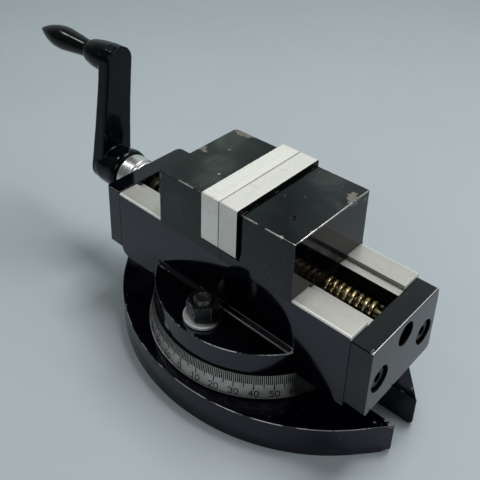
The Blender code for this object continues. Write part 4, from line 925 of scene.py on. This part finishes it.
w = BED_HALF_W
face = arc(-w + 2.0, TAIL_Z0 + 2.0, 2.0, 180, 270, 6) + [(w - 1.8, TAIL_Z0), (w, TAIL_Z0 + 2.1)] + arc(w - 2.4, PLATE_TOP - 2.4, 2.4, 0, 90, 7)
face += arc(-w + 0.8, PLATE_TOP - 0.8, 0.8, 90, 180, 4)
tail = raw("tail_end_plate", prism(face, BED_X1 + 0.30, TAIL_X1, "YZX"))
edge_bevel(tail, 0.30, 3, 2, 40, pick=lambda c, e: c.x < BED_X1 + 0.35 and abs(c.y) > w - 0.1)
edge_bevel(tail, 0.95, 2, 4, 40, pick=lambda c, e: c.x > TAIL_X1 - 0.1 and c.z > PLATE_TOP - 3.0)
edge_bevel(tail, 0.8, 1, 3, 40, pick=lambda c, e: c.x > TAIL_X1 - 0.1 and c.z < PLATE_TOP - 2.0)
paint(tail, lambda c, n, i: (5 if n.z > 0.60 else 1) if i == 2 and abs(c.y) < w - 0.3 else (1 if i == 2 else i))
cut(tail, [lathe([(0, BED_X1 - 2), (7.5, BED_X1 - 2), (7.5, TAIL_X1 - 0.5), (7.95, TAIL_X1 + 0.02), (7.95, TAIL_X1 + 2), (0, TAIL_X1 + 2)], "X", 72, (0, 0, AXIS_Z))] +
    [lathe([(0, TAIL_X1 + 2), (8.7, TAIL_X1 + 2), (8.7, TAIL_X1 + 0.02), (8.3, TAIL_X1 - 0.45), (8.3, TAIL_X1 - 9.0), (4.3, TAIL_X1 - 9.0),
            (4.3, BED_X1 - 2), (0, BED_X1 - 2)], "X", 72, (0, s * PS_Y, PS_Z)) for s in (-1, 1)], 3)
finish(tail, "bed", ["enamel_tail", "worn_lo", "tail_edge", "black_hole", "black_hole", "tail_edge"], ["tail_plate"])


# ================================================================== socket head screws
def cap_screw(name, body, at, axis, d, head_r, head_h, shank_r, length, node, rot=0.0):
    ax = {"X": 0, "Y": 1, "Z": 2}[axis]
    c = list(at)
    c[ax] = 0.0
    s0 = at[ax]
    prof = [(0, s0 + d * head_h), (head_r - 0.7, s0 + d * head_h), (head_r - 0.2, s0 + d * (head_h - 0.15)), (head_r, s0 + d * (head_h - 0.7)),
            (head_r, s0 + d * GAP), (shank_r, s0 + d * GAP), (shank_r, s0 - d * length), (0, s0 - d * length)]
    ob = raw(name, lathe(prof, axis, 48, tuple(c)))
    k = head_r * 0.55
    cut(ob, [lathe([(0, s0 + d * (head_h + 1)), (k, s0 + d * (head_h + 1)), (k, s0 + d * head_h * 0.42), (0, s0 + d * head_h * 0.30)], axis, 6,
                   tuple(c), math.radians(rot))], 0)
    edge_bevel(ob, 0.22, 1, 2, 50, pick=lambda q, e: abs(q[ax] - (s0 + d * head_h)) < 0.05)
    # screws sunk in the end plates take the darker oxide, painted as shade
    return finish(ob, body, ["screw_black", "worn_lo", "black_hole"] if axis == "X" and body == "bed" else ["oxide", "nut_edge"], [node])


for i, s in enumerate((-1, 1), 1):
    cap_screw("tail_screw_%d" % i, "bed", (TAIL_X1 - 9.0, s * PS_Y, PS_Z), "X", 1, 6.5, 7.6, 4.0, 18.0, "tail_plate_screw_%d" % i, 20 * i)
    cap_screw("drive_screw_%d" % i, "bed", (DRIVE_X0 + 8.4, s * PS_Y, PS_Z), "X", -1, 6.5, 7.6, 4.0, 17.0, "drive_plate_screw_%d" % i, 33 * i)

# ================================================================== clamp bolts, washers, nuts
for tag, s in (("front", -1), ("rear", 1)):
    y = s * TSLOT_R
    tb = raw("clamp_stud_" + tag, box(-9.0, 9.0, y - 9.0, y + 9.0, 10.6, TSLOT_ROOF - GAP))
    edge_bevel(tb, 0.6, 1, 2, 40)
    # shank, then a run of thread grooves up to the domed end
    prof = [(0, 14.0), (6.0, 14.0), (6.0, 60.0)]
    z = 60.0
    while z < STUD_TOP - 2.6:
        prof += [(5.95, z + 0.25), (5.30, z + 0.80), (5.30, z + 0.95), (5.95, z + 1.50)]
        z += 1.75
    prof += [(5.9, STUD_TOP - 1.3), (5.4, STUD_TOP - 0.4), (4.9, STUD_TOP - 0.05), (4.5, STUD_TOP), (3.9, STUD_TOP - 0.12), (3.45, STUD_TOP - 0.6), (3.3, STUD_TOP - 1.2),
             (2.6, STUD_TOP - 1.5), (0, STUD_TOP - 1.6)]
    join(tb, [lathe(prof, "Z", 56, (0, y, 0))], 0)
    finish(tb, "bed", ["stud", "nut_edge"], ["t_bolt_" + tag])
    wz = TURRET_TOP + GAP
    wa = raw("clamp_washer_" + tag, lathe(round_corner([(6.4, wz), (12.6, wz), (12.6, wz + 2.35), (6.4, wz + 2.35)], 0.5, (1, 2), 4), "Z", 96, (0, y, 0)))
    finish(wa, "bed", ["zinc_front" if tag == "front" else "zinc"], ["washer_" + tag], sharp=60)
    nz = wz + WASHER_H + 0.1
    ac = (NUT_AF + 0.3) / math.sqrt(3)
    nut_h = NUT_H + 0.9
    nut = raw("clamp_nut_%s_body" % tag, lathe([(0, nz), (ac, nz), (ac, nz + nut_h), (0, nz + nut_h)], "Z", 6, (0, y, 0), math.radians(NUT_TURN)))
    edge_bevel(nut, 0.5, 1, 3, 40, pick=lambda c, e: abs(e.verts[0].co.z - e.verts[1].co.z) > 5)
    boolean(nut, [lathe([(0, nz - 1), (ac - 0.9, nz - 1), (ac - 0.9, nz), (ac + 0.3, nz + 0.7), (ac + 0.3, nz + nut_h - 2.2), (ac - 0.45, nz + nut_h - 1.1),
                         (ac - 1.3, nz + nut_h - 0.3), (ac - 1.9, nz + nut_h), (0, nz + nut_h + 0.001)], "Z", 120, (0, y, 0))], "INTERSECT", 2)
    cut(nut, [lathe([(0, nz - 1), (6.25, nz - 1), (6.25, nz + nut_h - 0.9), (7.1, nz + nut_h + 0.02), (7.1, nz + nut_h + 2), (0, nz + nut_h + 2)], "Z", 64, (0, y, 0))], 2)
    paint(nut, lambda c, n, i: 0 if (i == 2 and n.z > 0.3) else i)
    finish(nut, "clamp_nut_" + tag, ["nut_black", "nut_side", "nut_edge"], ["clamp_nut_%s_hex" % tag], sharp=24)

# ================================================================== lead screw
SEG = 56
FORM = [(0.02, ROOT_R), (0.20, ROOT_R), (0.255, ROOT_R + 0.12), (0.36, THREAD_R - 0.22), (0.40, THREAD_R - 0.04), (0.45, THREAD_R), (0.76, THREAD_R),
        (0.81, THREAD_R - 0.04), (0.85, THREAD_R - 0.22), (0.96, ROOT_R + 0.12)]


def threaded(bm, x0, turns, hand):
    p = len(FORM)
    rows = turns * p + 1
    cols = []
    for k in range(SEG):
        a = hand * 2 * math.pi * k / SEG
        col = []
        for j in range(rows):
            f, r = FORM[j % p]
            x = x0 + LEAD * (j // p + f + k / SEG)
            col.append(bm.verts.new((x, r * math.sin(a), AXIS_Z + r * math.cos(a))))
        cols.append(col)
    for k in range(SEG):
        shift = p if k == SEG - 1 else 0
        a, b = cols[k], cols[(k + 1) % SEG]
        for j in range(rows - 1 - shift):
            bm.faces.new((a[j], a[j + 1], b[j + 1 + shift], b[j + shift]))
    return cols, p, rows


def journal(bm, prof):
    rings = [[bm.verts.new((x, r * math.sin(2 * math.pi * k / SEG), AXIS_Z + r * math.cos(2 * math.pi * k / SEG))) for k in range(SEG)] for x, r in prof]
    for a, b in zip(rings, rings[1:]):
        for k in range(SEG):
            j = (k + 1) % SEG
            bm.faces.new((a[k], a[j], b[j], b[k])).material_index = 1
    return rings


def screw_half(bm, x0, turns, hand, ring_lo, ring_hi):
    cols, p, rows = threaded(bm, x0, turns, hand)
    lo = [ring_lo[(hand * k) % SEG] for k in range(SEG)]
    hi = [ring_hi[(hand * k) % SEG] for k in range(SEG)]
    top = rows - 1
    last = cols[SEG - 1]
    for k in range(SEG - 1):
        bm.faces.new((lo[k], lo[k + 1], cols[k + 1][0], cols[k][0]))
        bm.faces.new((hi[k], hi[k + 1], cols[k + 1][top], cols[k][top]))
    bm.faces.new((lo[SEG - 1], lo[0], cols[0][p], last[0]))
    bm.faces.new([lo[0]] + [cols[0][j] for j in range(p + 1)])
    bm.faces.new((hi[SEG - 1], hi[0], cols[0][top], last[top - p]))
    bm.faces.new([hi[SEG - 1]] + [last[j] for j in range(top - p, top + 1)])


bm = bmesh.new()
NECK = ROOT_R - 0.35
lr = journal(bm, [(-148.0, 6.2), (-147.2, 7.0), (-110.7, 7.0), (-110.7, 8.6), (-97.4, 8.6), (-97.4, NECK), (-96.6, NECK)])
mr = journal(bm, [(-13.1, NECK), (-12.4, NECK), (-12.4, 10.0), (-12.0, 10.4), (-8.8, 10.4), (-8.4, 10.0), (-8.4, 6.0), (8.4, 6.0), (8.4, 10.0), (8.8, 10.4),
                  (12.0, 10.4), (12.4, 10.0), (12.4, NECK), (13.1, NECK)])
rr = journal(bm, [(92.9, NECK), (94.0, NECK), (94.0, 5.4), (103.4, 5.4), (104.2, 4.6)])
bm.faces.new(lr[0][::-1]).material_index = 1
bm.faces.new(rr[-1]).material_index = 1
screw_half(bm, -96.2, 17, 1, lr[-1], mr[0])
screw_half(bm, 13.5, 17, -1, mr[-1], rr[0])
bmesh.ops.triangulate(bm, faces=[f for f in bm.faces if len(f.verts) > 4])
bmesh.ops.recalc_face_normals(bm, faces=bm.faces)
screw = raw("lead_screw_threads", bm)
finish(screw, "spindle", ["thread", "shaft"], ["lead_screw"], sharp=50, weighted=False)

prof = [(7.3, -127.8), (14.6, -127.8), (15.2, -127.6), (15.5, -127.1), (15.5, -116.6), (15.3, -116.1), (14.9, -115.8), (14.3, -115.7), (14.3, -115.2), (14.6, -115.0), (14.6, -112.8),
        (14.2, -112.3), (7.3, -112.3)]
collar = raw("thrust_collar_ring", lathe(prof, "X", 144, (0, 0, AXIS_Z)))
finish(collar, "spindle", ["collar"], ["thrust_collar"], sharp=50)

# ================================================================== crank
top_z = AXIS_Z + CRANK_R


def section(x0, x1, hw, r, n=6):
    """Rounded rectangle in X and Y."""
    out = []
    for cx, cy, a in ((x1 - r, hw - r, 0), (x0 + r, hw - r, 90), (x0 + r, -hw + r, 180), (x1 - r, -hw + r, 270)):
        out += [(cx + r * math.cos(math.radians(a + 90 * i / n)), cy + r * math.sin(math.radians(a + 90 * i / n))) for i in range(n + 1)]
    return out


bm = bmesh.new()
rows = []
steps = 44
for i in range(steps + 1):
    t = i / steps
    z = AXIS_Z - 15.4 + (CRANK_R + 15.4 + 12.4) * t
    # half width: wide at the hub, narrower upwards, round at both ends
    d_lo, d_hi = z - AXIS_Z, z - top_z
    u = min(1, max(0, d_lo / 74.0))
    hw = 15.4 + (12.4 - 15.4) * (u * (1.6 - 0.6 * u))
    if d_lo < 0:
        hw = min(hw, math.sqrt(max(0.0, 15.8 ** 2 - d_lo ** 2)))
    if d_hi > 0:
        hw = min(hw, math.sqrt(max(0.0, 12.5 ** 2 - d_hi ** 2)))
    hw = max(hw, 2.2)
    x0 = -157.5 - 1.0 * max(0, 1 - max(0, d_lo) / 60.0)
    x1 = -146.1 + 0.6 * max(0, 1 - max(0, d_lo) / 50.0)
    rows.append([bm.verts.new((x, yy + 0.4, z)) for x, yy in section(x0, x1, hw, min(1.8, hw * 0.95))])
for a, b in zip(rows, rows[1:]):
    for i in range(len(a)):
        j = (i + 1) % len(a)
        bm.faces.new((a[i], a[j], b[j], b[i]))
bm.faces.new(rows[0][::-1])
bm.faces.new(rows[-1])
bmesh.ops.recalc_face_normals(bm, faces=bm.faces)
arm = raw("crank_casting", bm)
parts = [raw("part", lathe([(0, -157.9), (10.5, -157.9), (13.4, -156.9), (15.2, -154.6), (16.0, -151.0), (16.3, -147.0), (16.5, -142.0), (17.1, -137.0), (17.6, -133.0), (17.5, -130.6),
                            (16.8, -128.9), (15.4, -128.2), (0, -128.2)], "X", 96, (0, 0, AXIS_Z))),
         raw("part", lathe([(0, -152.0), (12.0, -152.0), (12.0, -158.5), (11.8, -163.0), (11.4, -168.0), (10.6, -173.0), (9.6, -177.5), (8.4, -180.4), (7.2, -181.6), (0, -181.6)],
                           "X", 80, (0, 0, top_z)))]
bm = bmesh.new()
for o in [arm] + parts:
    bm.from_mesh(o.data)
bm.to_mesh(arm.data)
bm.free()
for o in parts:
    bpy.data.objects.remove(o, do_unlink=True)
# the voxel mesh joins the overlapping shapes and rounds the places where they meet, as in a casting
md = arm.modifiers.new("vox", "REMESH")
md.mode = "VOXEL"
md.voxel_size = 0.6
md.use_smooth_shade = True
apply_mods(arm)
md = arm.modifiers.new("sm", "SMOOTH")
md.factor = 0.5
md.iterations = 6
apply_mods(arm)
# slight unevenness of a polished casting
moved = [v.co + v.normal * (noise.noise(v.co * 0.085) * 0.10) for v in arm.data.vertices]
for v, c in zip(arm.data.vertices, moved):
    v.co = c
cut(arm, [cyl(7.25, -148.4, -126.0, "X", (0, 0, AXIS_Z), 64), cyl(4.3, -186.0, -162.0, "X", (0, 0, top_z), 48),
          lathe([(0, AXIS_Z + 7.0), (2.7, AXIS_Z + 7.0), (2.7, AXIS_Z + 24.0), (0, AXIS_Z + 24.0)], "Z", 32, (-137.5, 0, 0))], 1,
    "MANIFOLD")
arm.data.transform(Matrix.Translation((0, 0, AXIS_Z)) @ Matrix.Rotation(-TILT, 4, "X") @ Matrix.Translation((0, 0, -AXIS_Z)))
finish(arm, "spindle", ["enamel_crank", "dark"], ["crank_arm"], sharp=60, weighted=False)

prof = [(4.3, -182.0), (5.9, -182.0), (6.5, -182.3), (6.8, -183.2), (6.9, -185.0), (7.1, -188.0), (7.5, -192.0), (8.0, -197.0), (8.6, -202.5), (9.15, -208.0),
        (9.45, -212.0), (9.5, -215.0), (9.25, -220.0), (8.3, -225.5), (6.9, -231.0), (5.1, -236.2), (3.2, -240.8), (1.5, -244.3), (0.4, -245.65),
        (0, -245.7), (0, -232.5), (4.3, -232.5)]
grip = raw("crank_grip", tilted(lathe(prof, "X", 72, (0, 0, top_z))))
finish(grip, "handle", ["grip"], ["grip_handle"], sharp=50, weighted=False)


# ================================================================== jaws
def jaw(tag, s, chips_mat):
    par = "jaw_" + tag
    xf, xb = s * JAW_F, s * (JAW_F + JAW_LEN)
    x0, x1 = min(xf, xb), max(xf, xb)
    xm = (x0 + x1) / 2
    ob = raw("%s_body" % par, box(x0, x1, -JAW_HALF_W, JAW_HALF_W, WAY_Z + GAP, JAW_TOP))
    # vertical edges and the edge at the plate are rounder and stay black, the top edges are worn
    if tag == "left":
        edge_bevel(ob, 3.4, 0, 6, 40, pick=lambda c, e: abs(e.verts[0].co.z - e.verts[1].co.z) > 10 and c.x < x0 + 0.1 and c.y > 0)
    edge_bevel(ob, 0.6, 1, 3, 40, pick=lambda c, e: abs(c.z - JAW_TOP) < 0.05)
    edge_bevel(ob, 0.6, 5, 3, 40, pick=lambda c, e: c.z < WAY_Z + GAP + 0.05 and abs(e.verts[0].co.z - e.verts[1].co.z) < 0.1)
    edge_bevel(ob, 0.5, 2, 3, 40, pick=lambda c, e: abs(e.verts[0].co.z - e.verts[1].co.z) > 10)
    f0, f1 = sorted((s * 0.15, s * (PAD_T + 2.0)))
    join(ob, [box(f0, f1, -JAW_HALF_W + 0.02, JAW_HALF_W - 0.02, WAY_Z + GAP, PAD_Z0 - GAP)], 0)
    lip0, lip1 = sorted((s * 0.25, s * (JAW_F + JAW_LEN - 0.02)))
    join(ob, [box(lip0, lip1, min(q * 36.78, q * 37.38), max(q * 36.78, q * 37.38), WAY_Z - 1.35, WAY_Z + GAP + 0.7) for q in (-1, 1)], 0)
    join(ob, [prism([(-13.1, UNDER_Z1 + 0.1), (13.1, UNDER_Z1 + 0.1), (13.1, 90.0), (19.6, 90.0), (19.6, 96.0), (-19.6, 96.0), (-19.6, 90.0), (-13.1, 90.0)],
                    x0 + 0.9, x1 - 0.9, "YZX")], 3)
    cuts = [cyl(8.6, x0 - 1, x1 + 1, "X", (0, 0, AXIS_Z), 56), cyl(11.3, xm - 10.2, xm + 10.2, "X", (0, 0, AXIS_Z), 64),
            box(xm - 10.2, xm + 10.2, -11.3, 11.3, UNDER_Z1 - 2, AXIS_Z)]
    cuts += [cyl(3.35, xf - s, xf + s * 17.0, "X", (0, y, 116.0), 32) for y in (-24, 24)]
    cut(ob, cuts, 3)
    dents = {"right": [(38.9, -18.0, 2.3, 1.0), (30.8, 3.4, 1.0, 0.4)], "left": [(-23.3, -14.5, 1.0, 0.5), (-38.0, 12.0, 0.7, 0.25)]}[tag]
    cut(ob, [lathe([(0, JAW_TOP - d), (r * 0.45, JAW_TOP - d * 0.8), (r, JAW_TOP + 0.02), (r, JAW_TOP + 1), (0, JAW_TOP + 1)], "Z", 28, (x, y, 0)) for x, y, r, d in dents], 4)
    paint(ob, lambda c, n, i: 6 if (i == 0 and n.x * s > 0.95) else
          (7 if i == 4 and any(math.hypot(c.x - x, c.y - y) > r * 0.62 for x, y, r, d in dents if math.hypot(c.x - x, c.y - y) < r * 1.2) else i))
    finish(ob, par, [chips_mat, "edge_jaw_r" if tag == "right" else "edge_jaw_l", "worn_lo", "inside", "black_hole", "seam", chips_mat + "_end", "worn"],
           ["%s_block" % par])
    # hardened plate
    a, b = s * 0.15, s * (0.15 + PAD_T)
    pa, pb = min(a, b), max(a, b)
    h = PAD_HALF_W
    out = [(-h + 3.9, PAD_Z0), (-h + 3.0, PAD_Z0 + 0.3), (h - 3.0, PAD_Z0 + 0.3), (h, PAD_Z0 + 3.8), (h, PAD_Z1 - 0.9), (h - 0.3, PAD_Z1 - 0.25), (h - 0.9, PAD_Z1)]
    out[0:3] = [(-h + 3.9, PAD_Z0), (h - 3.9, PAD_Z0), (h - 3.0, PAD_Z0 + 0.35)]
    out += arc(-h + 1.4, PAD_Z1 - 1.4, 1.4, 90, 180, 5) + [(-h, PAD_Z0 + 3.8), (-h + 0.35, PAD_Z0 + 2.9), (-h + 3.0, PAD_Z0 + 0.35)]
    pad = raw("%s_face_plate" % par, prism(out, pa, pb, "YZX"))
    edge_bevel(pad, 0.40, 1, 2, 40)
    for y in (-24, 24):
        cut(pad, [lathe([(0, a - s * 2), (5.9, a - s * 2), (5.9, a - s * 0.02), (5.4, a + s * 0.5), (5.4, a + s * 6.6), (3.3, a + s * 6.6), (3.3, b + s * 2),
                         (0, b + s * 2)], "X", 56, (0, y, 116.0))], 1)
    paint(pad, lambda c, n, i: 2 if (n.x * s > 0.9 or (i == 1 and n.x * s > 0.2)) else i)
    # the right jaw's plate takes the copy painted darker as shade
    finish(pad, par, ["plate" if tag == "left" else "plate_r", "way", "screw_black"], ["%s_plate" % par])
    for i, y in enumerate((-24, 24), 1):
        cap_screw("%s_face_screw_%d" % (par, i), par, (a + s * 6.6, y, 116.0), "X", -s, 5.0, 6.0, 3.0, 23.0, "%s_plate_screw_%d" % (par, i), 17 * i)


jaw("left", -1, "enamel_jaw_l")
jaw("right", 1, "enamel_jaw_r")

# ================================================================== solids kept as they are, with a finish of their own
# the drive bush takes the bronze copy painted darker as shade
for node, mat, sl in (("drive_bush", "bronze_dark", "bronze"), ("tail_bush", "bronze", "bronze"), ("centre_yoke", "shaft", "turned_steel"),
                      ("yoke_screw_1", "oxide", "black_oxide"), ("yoke_screw_2", "oxide", "black_oxide"), ("crank_set_screw", "oxide", "black_oxide"),
                      ("grip_spindle", "shaft", "turned_steel"), ("jaw_left_nut", "bronze", "bronze"), ("jaw_right_nut", "bronze", "bronze"),
                      ("jaw_left_keeper", "shaft", "turned_steel"), ("jaw_right_keeper", "shaft", "turned_steel"),
                      ("jaw_left_keeper_screw_1", "oxide", "black_oxide"), ("jaw_left_keeper_screw_2", "oxide", "black_oxide"),
                      ("jaw_right_keeper_screw_1", "oxide", "black_oxide"), ("jaw_right_keeper_screw_2", "oxide", "black_oxide")):
    o = NODES[node]
    o.data.materials.clear()
    o.data.materials.append(M[mat])
    for p in o.data.polygons:
        p.material_index = 0

# ================================================================== floor, light, camera
fm = Mat("studio_floor", rough=0.55, color=(0.74, 0.76, 0.77))
fm.color(fm.mix(fm.ramp(fm.noise(3, 3, 0.5), 0.3, 0.7), (0.425, 0.475, 0.51), (0.445, 0.495, 0.53)))
fm.rough(fm.ramp(fm.noise(40, 3, 0.5), 0.3, 0.7, 0.5, 0.62))
bm = bmesh.new()
vs = [bm.verts.new((4.0 * math.cos(2 * math.pi * i / 64), 4.0 * math.sin(2 * math.pi * i / 64), 0)) for i in range(64)]
bm.faces.new(vs)
me = bpy.data.meshes.new("studio_floor")
bm.to_mesh(me)
bm.free()
me.materials.append(fm.m)
floor = bpy.data.objects.new("studio_floor", me)
scene.collection.objects.link(floor)
floor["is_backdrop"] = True

world = bpy.data.worlds.new("studio")
scene.world = world
world.use_nodes = True
wt = world.node_tree
bg = wt.nodes["Background"]


def wnode(kind, **kw):
    n = wt.nodes.new(kind)
    for key, v in kw.items():
        setattr(n, key, v)
    return n


def wramp(fac, stops):
    n = wnode("ShaderNodeValToRGB")
    n.color_ramp.interpolation = "EASE"
    wt.links.new(fac, n.inputs["Fac"])
    e = n.color_ramp.elements
    e[0].position, e[0].color = stops[0][0], (*stops[0][1], 1)
    e[1].position, e[1].color = stops[-1][0], (*stops[-1][1], 1)
    for pos, c in stops[1:-1]:
        q = e.new(pos)
        q.color = (*c, 1)
    return n.outputs["Color"]


def grey(v):
    return (v, v, v)


tc = wnode("ShaderNodeTexCoord")
sp = wnode("ShaderNodeSeparateXYZ")
wt.links.new(tc.outputs["Generated"], sp.inputs[0])
# by height: pale at the horizon, grey-green walls, a dimmer ceiling
by_z = wramp(sp.outputs["Z"], [(0.0, (0.52, 0.56, 0.60)), (0.12, (0.42, 0.48, 0.49)), (0.42, (0.62, 0.78, 0.72)), (0.68, (0.52, 0.60, 0.58)), (0.82, (0.36, 0.38, 0.38)), (1.0, (0.32, 0.33, 0.34))])
# by compass direction: soft light and dark panels behind, dimmer in front
at = wnode("ShaderNodeMath", operation="ARCTAN2")
wt.links.new(sp.outputs["X"], at.inputs[0])
wt.links.new(sp.outputs["Y"], at.inputs[1])
turn01 = wnode("ShaderNodeMapRange")
turn01.inputs["From Min"].default_value = -math.pi
turn01.inputs["From Max"].default_value = math.pi
wt.links.new(at.outputs[0], turn01.inputs["Value"])
AZ = lambda deg: (deg + 180.0) / 360.0
by_az = wramp(turn01.outputs["Result"], [(0.0, grey(0.22)), (AZ(-150), grey(0.14)), (AZ(-115), grey(0.16)), (AZ(-75), grey(0.55)), (AZ(-55), grey(0.80)), (AZ(-48.5), grey(0.70)), (AZ(-45.5), grey(0.62)), (AZ(-41.5), grey(1.0)),
                              (AZ(-38.5), grey(0.60)), (AZ(-35.5), grey(0.42)), (AZ(-33), grey(0.72)), (AZ(-30.5), grey(0.95)), (AZ(-24), grey(0.85)), (AZ(0), grey(0.80)),
                              (AZ(40), grey(0.62)), (AZ(90), grey(0.50)), (AZ(140), grey(0.32)), (1.0, grey(0.22))])
mu = wnode("ShaderNodeMix", data_type="RGBA", blend_type="MULTIPLY")
mu.inputs[0].default_value = 1.0
wt.links.new(by_z, mu.inputs[6])
wt.links.new(by_az, mu.inputs[7])
wt.links.new(mu.outputs[2], bg.inputs["Color"])
bg.inputs["Strength"].default_value = 1.0


def area(name, loc, target, size, power, color=(1, 1, 1)):
    d = bpy.data.lights.new(name, "AREA")
    d.shape = "RECTANGLE"
    d.size, d.size_y = size
    d.energy = power
    d.color = color
    ob = bpy.data.objects.new(name, d)
    scene.collection.objects.link(ob)
    ob.location = loc
    ob.rotation_euler = (Vector(target) - Vector(loc)).to_track_quat("-Z", "Y").to_euler()
    return ob


area("key", (0.058, 0.413, 1.284), (0, 0, 0.05), (0.5, 0.5), 10.5, (1.0, 0.99, 0.98))
area("small", (-0.926, -0.231, 1.024), (0, 0, 0.08), (0.16, 0.16), 1.3, (0.98, 0.99, 1.0))
area("front", (0.06, -0.98, 0.82), (0, 0, 0.08), (0.5, 0.5), 2.0, (1.0, 0.985, 0.96))
area("right", (1.2, 0.35, 0.60), (0, 0, 0.08), (0.6, 0.7), 3.5, (0.98, 0.99, 1.0))

cam_d = bpy.data.cameras.new("camera")
cam = bpy.data.objects.new("camera", cam_d)
scene.collection.objects.link(cam)
scene.camera = cam
az, elv, ro = math.radians(44.788), math.radians(27.050), math.radians(-0.1156)
back = Vector((math.sin(az) * math.cos(elv), -math.cos(az) * math.cos(elv), math.sin(elv)))
fwd = -back
right = fwd.cross(Vector((0, 0, 1))).normalized()
down = fwd.cross(right)
r2 = right * math.cos(ro) - down * math.sin(ro)
d2 = right * math.sin(ro) + down * math.cos(ro)
mat = Matrix((r2, -d2, -fwd)).transposed().to_4x4()
mat.translation = Vector((0.2313, -0.2965, 0.3819))
cam.matrix_world = mat
cam_d.sensor_width = 36.0
cam_d.lens = 53.226
cam_d.shift_x, cam_d.shift_y = 0.10299, -0.29754
cam_d.clip_start, cam_d.clip_end = 0.01, 20.0

scene.view_settings.view_transform = "Standard"
scene.view_settings.look = "None"
scene.view_settings.exposure = 0.0

lo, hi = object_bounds()
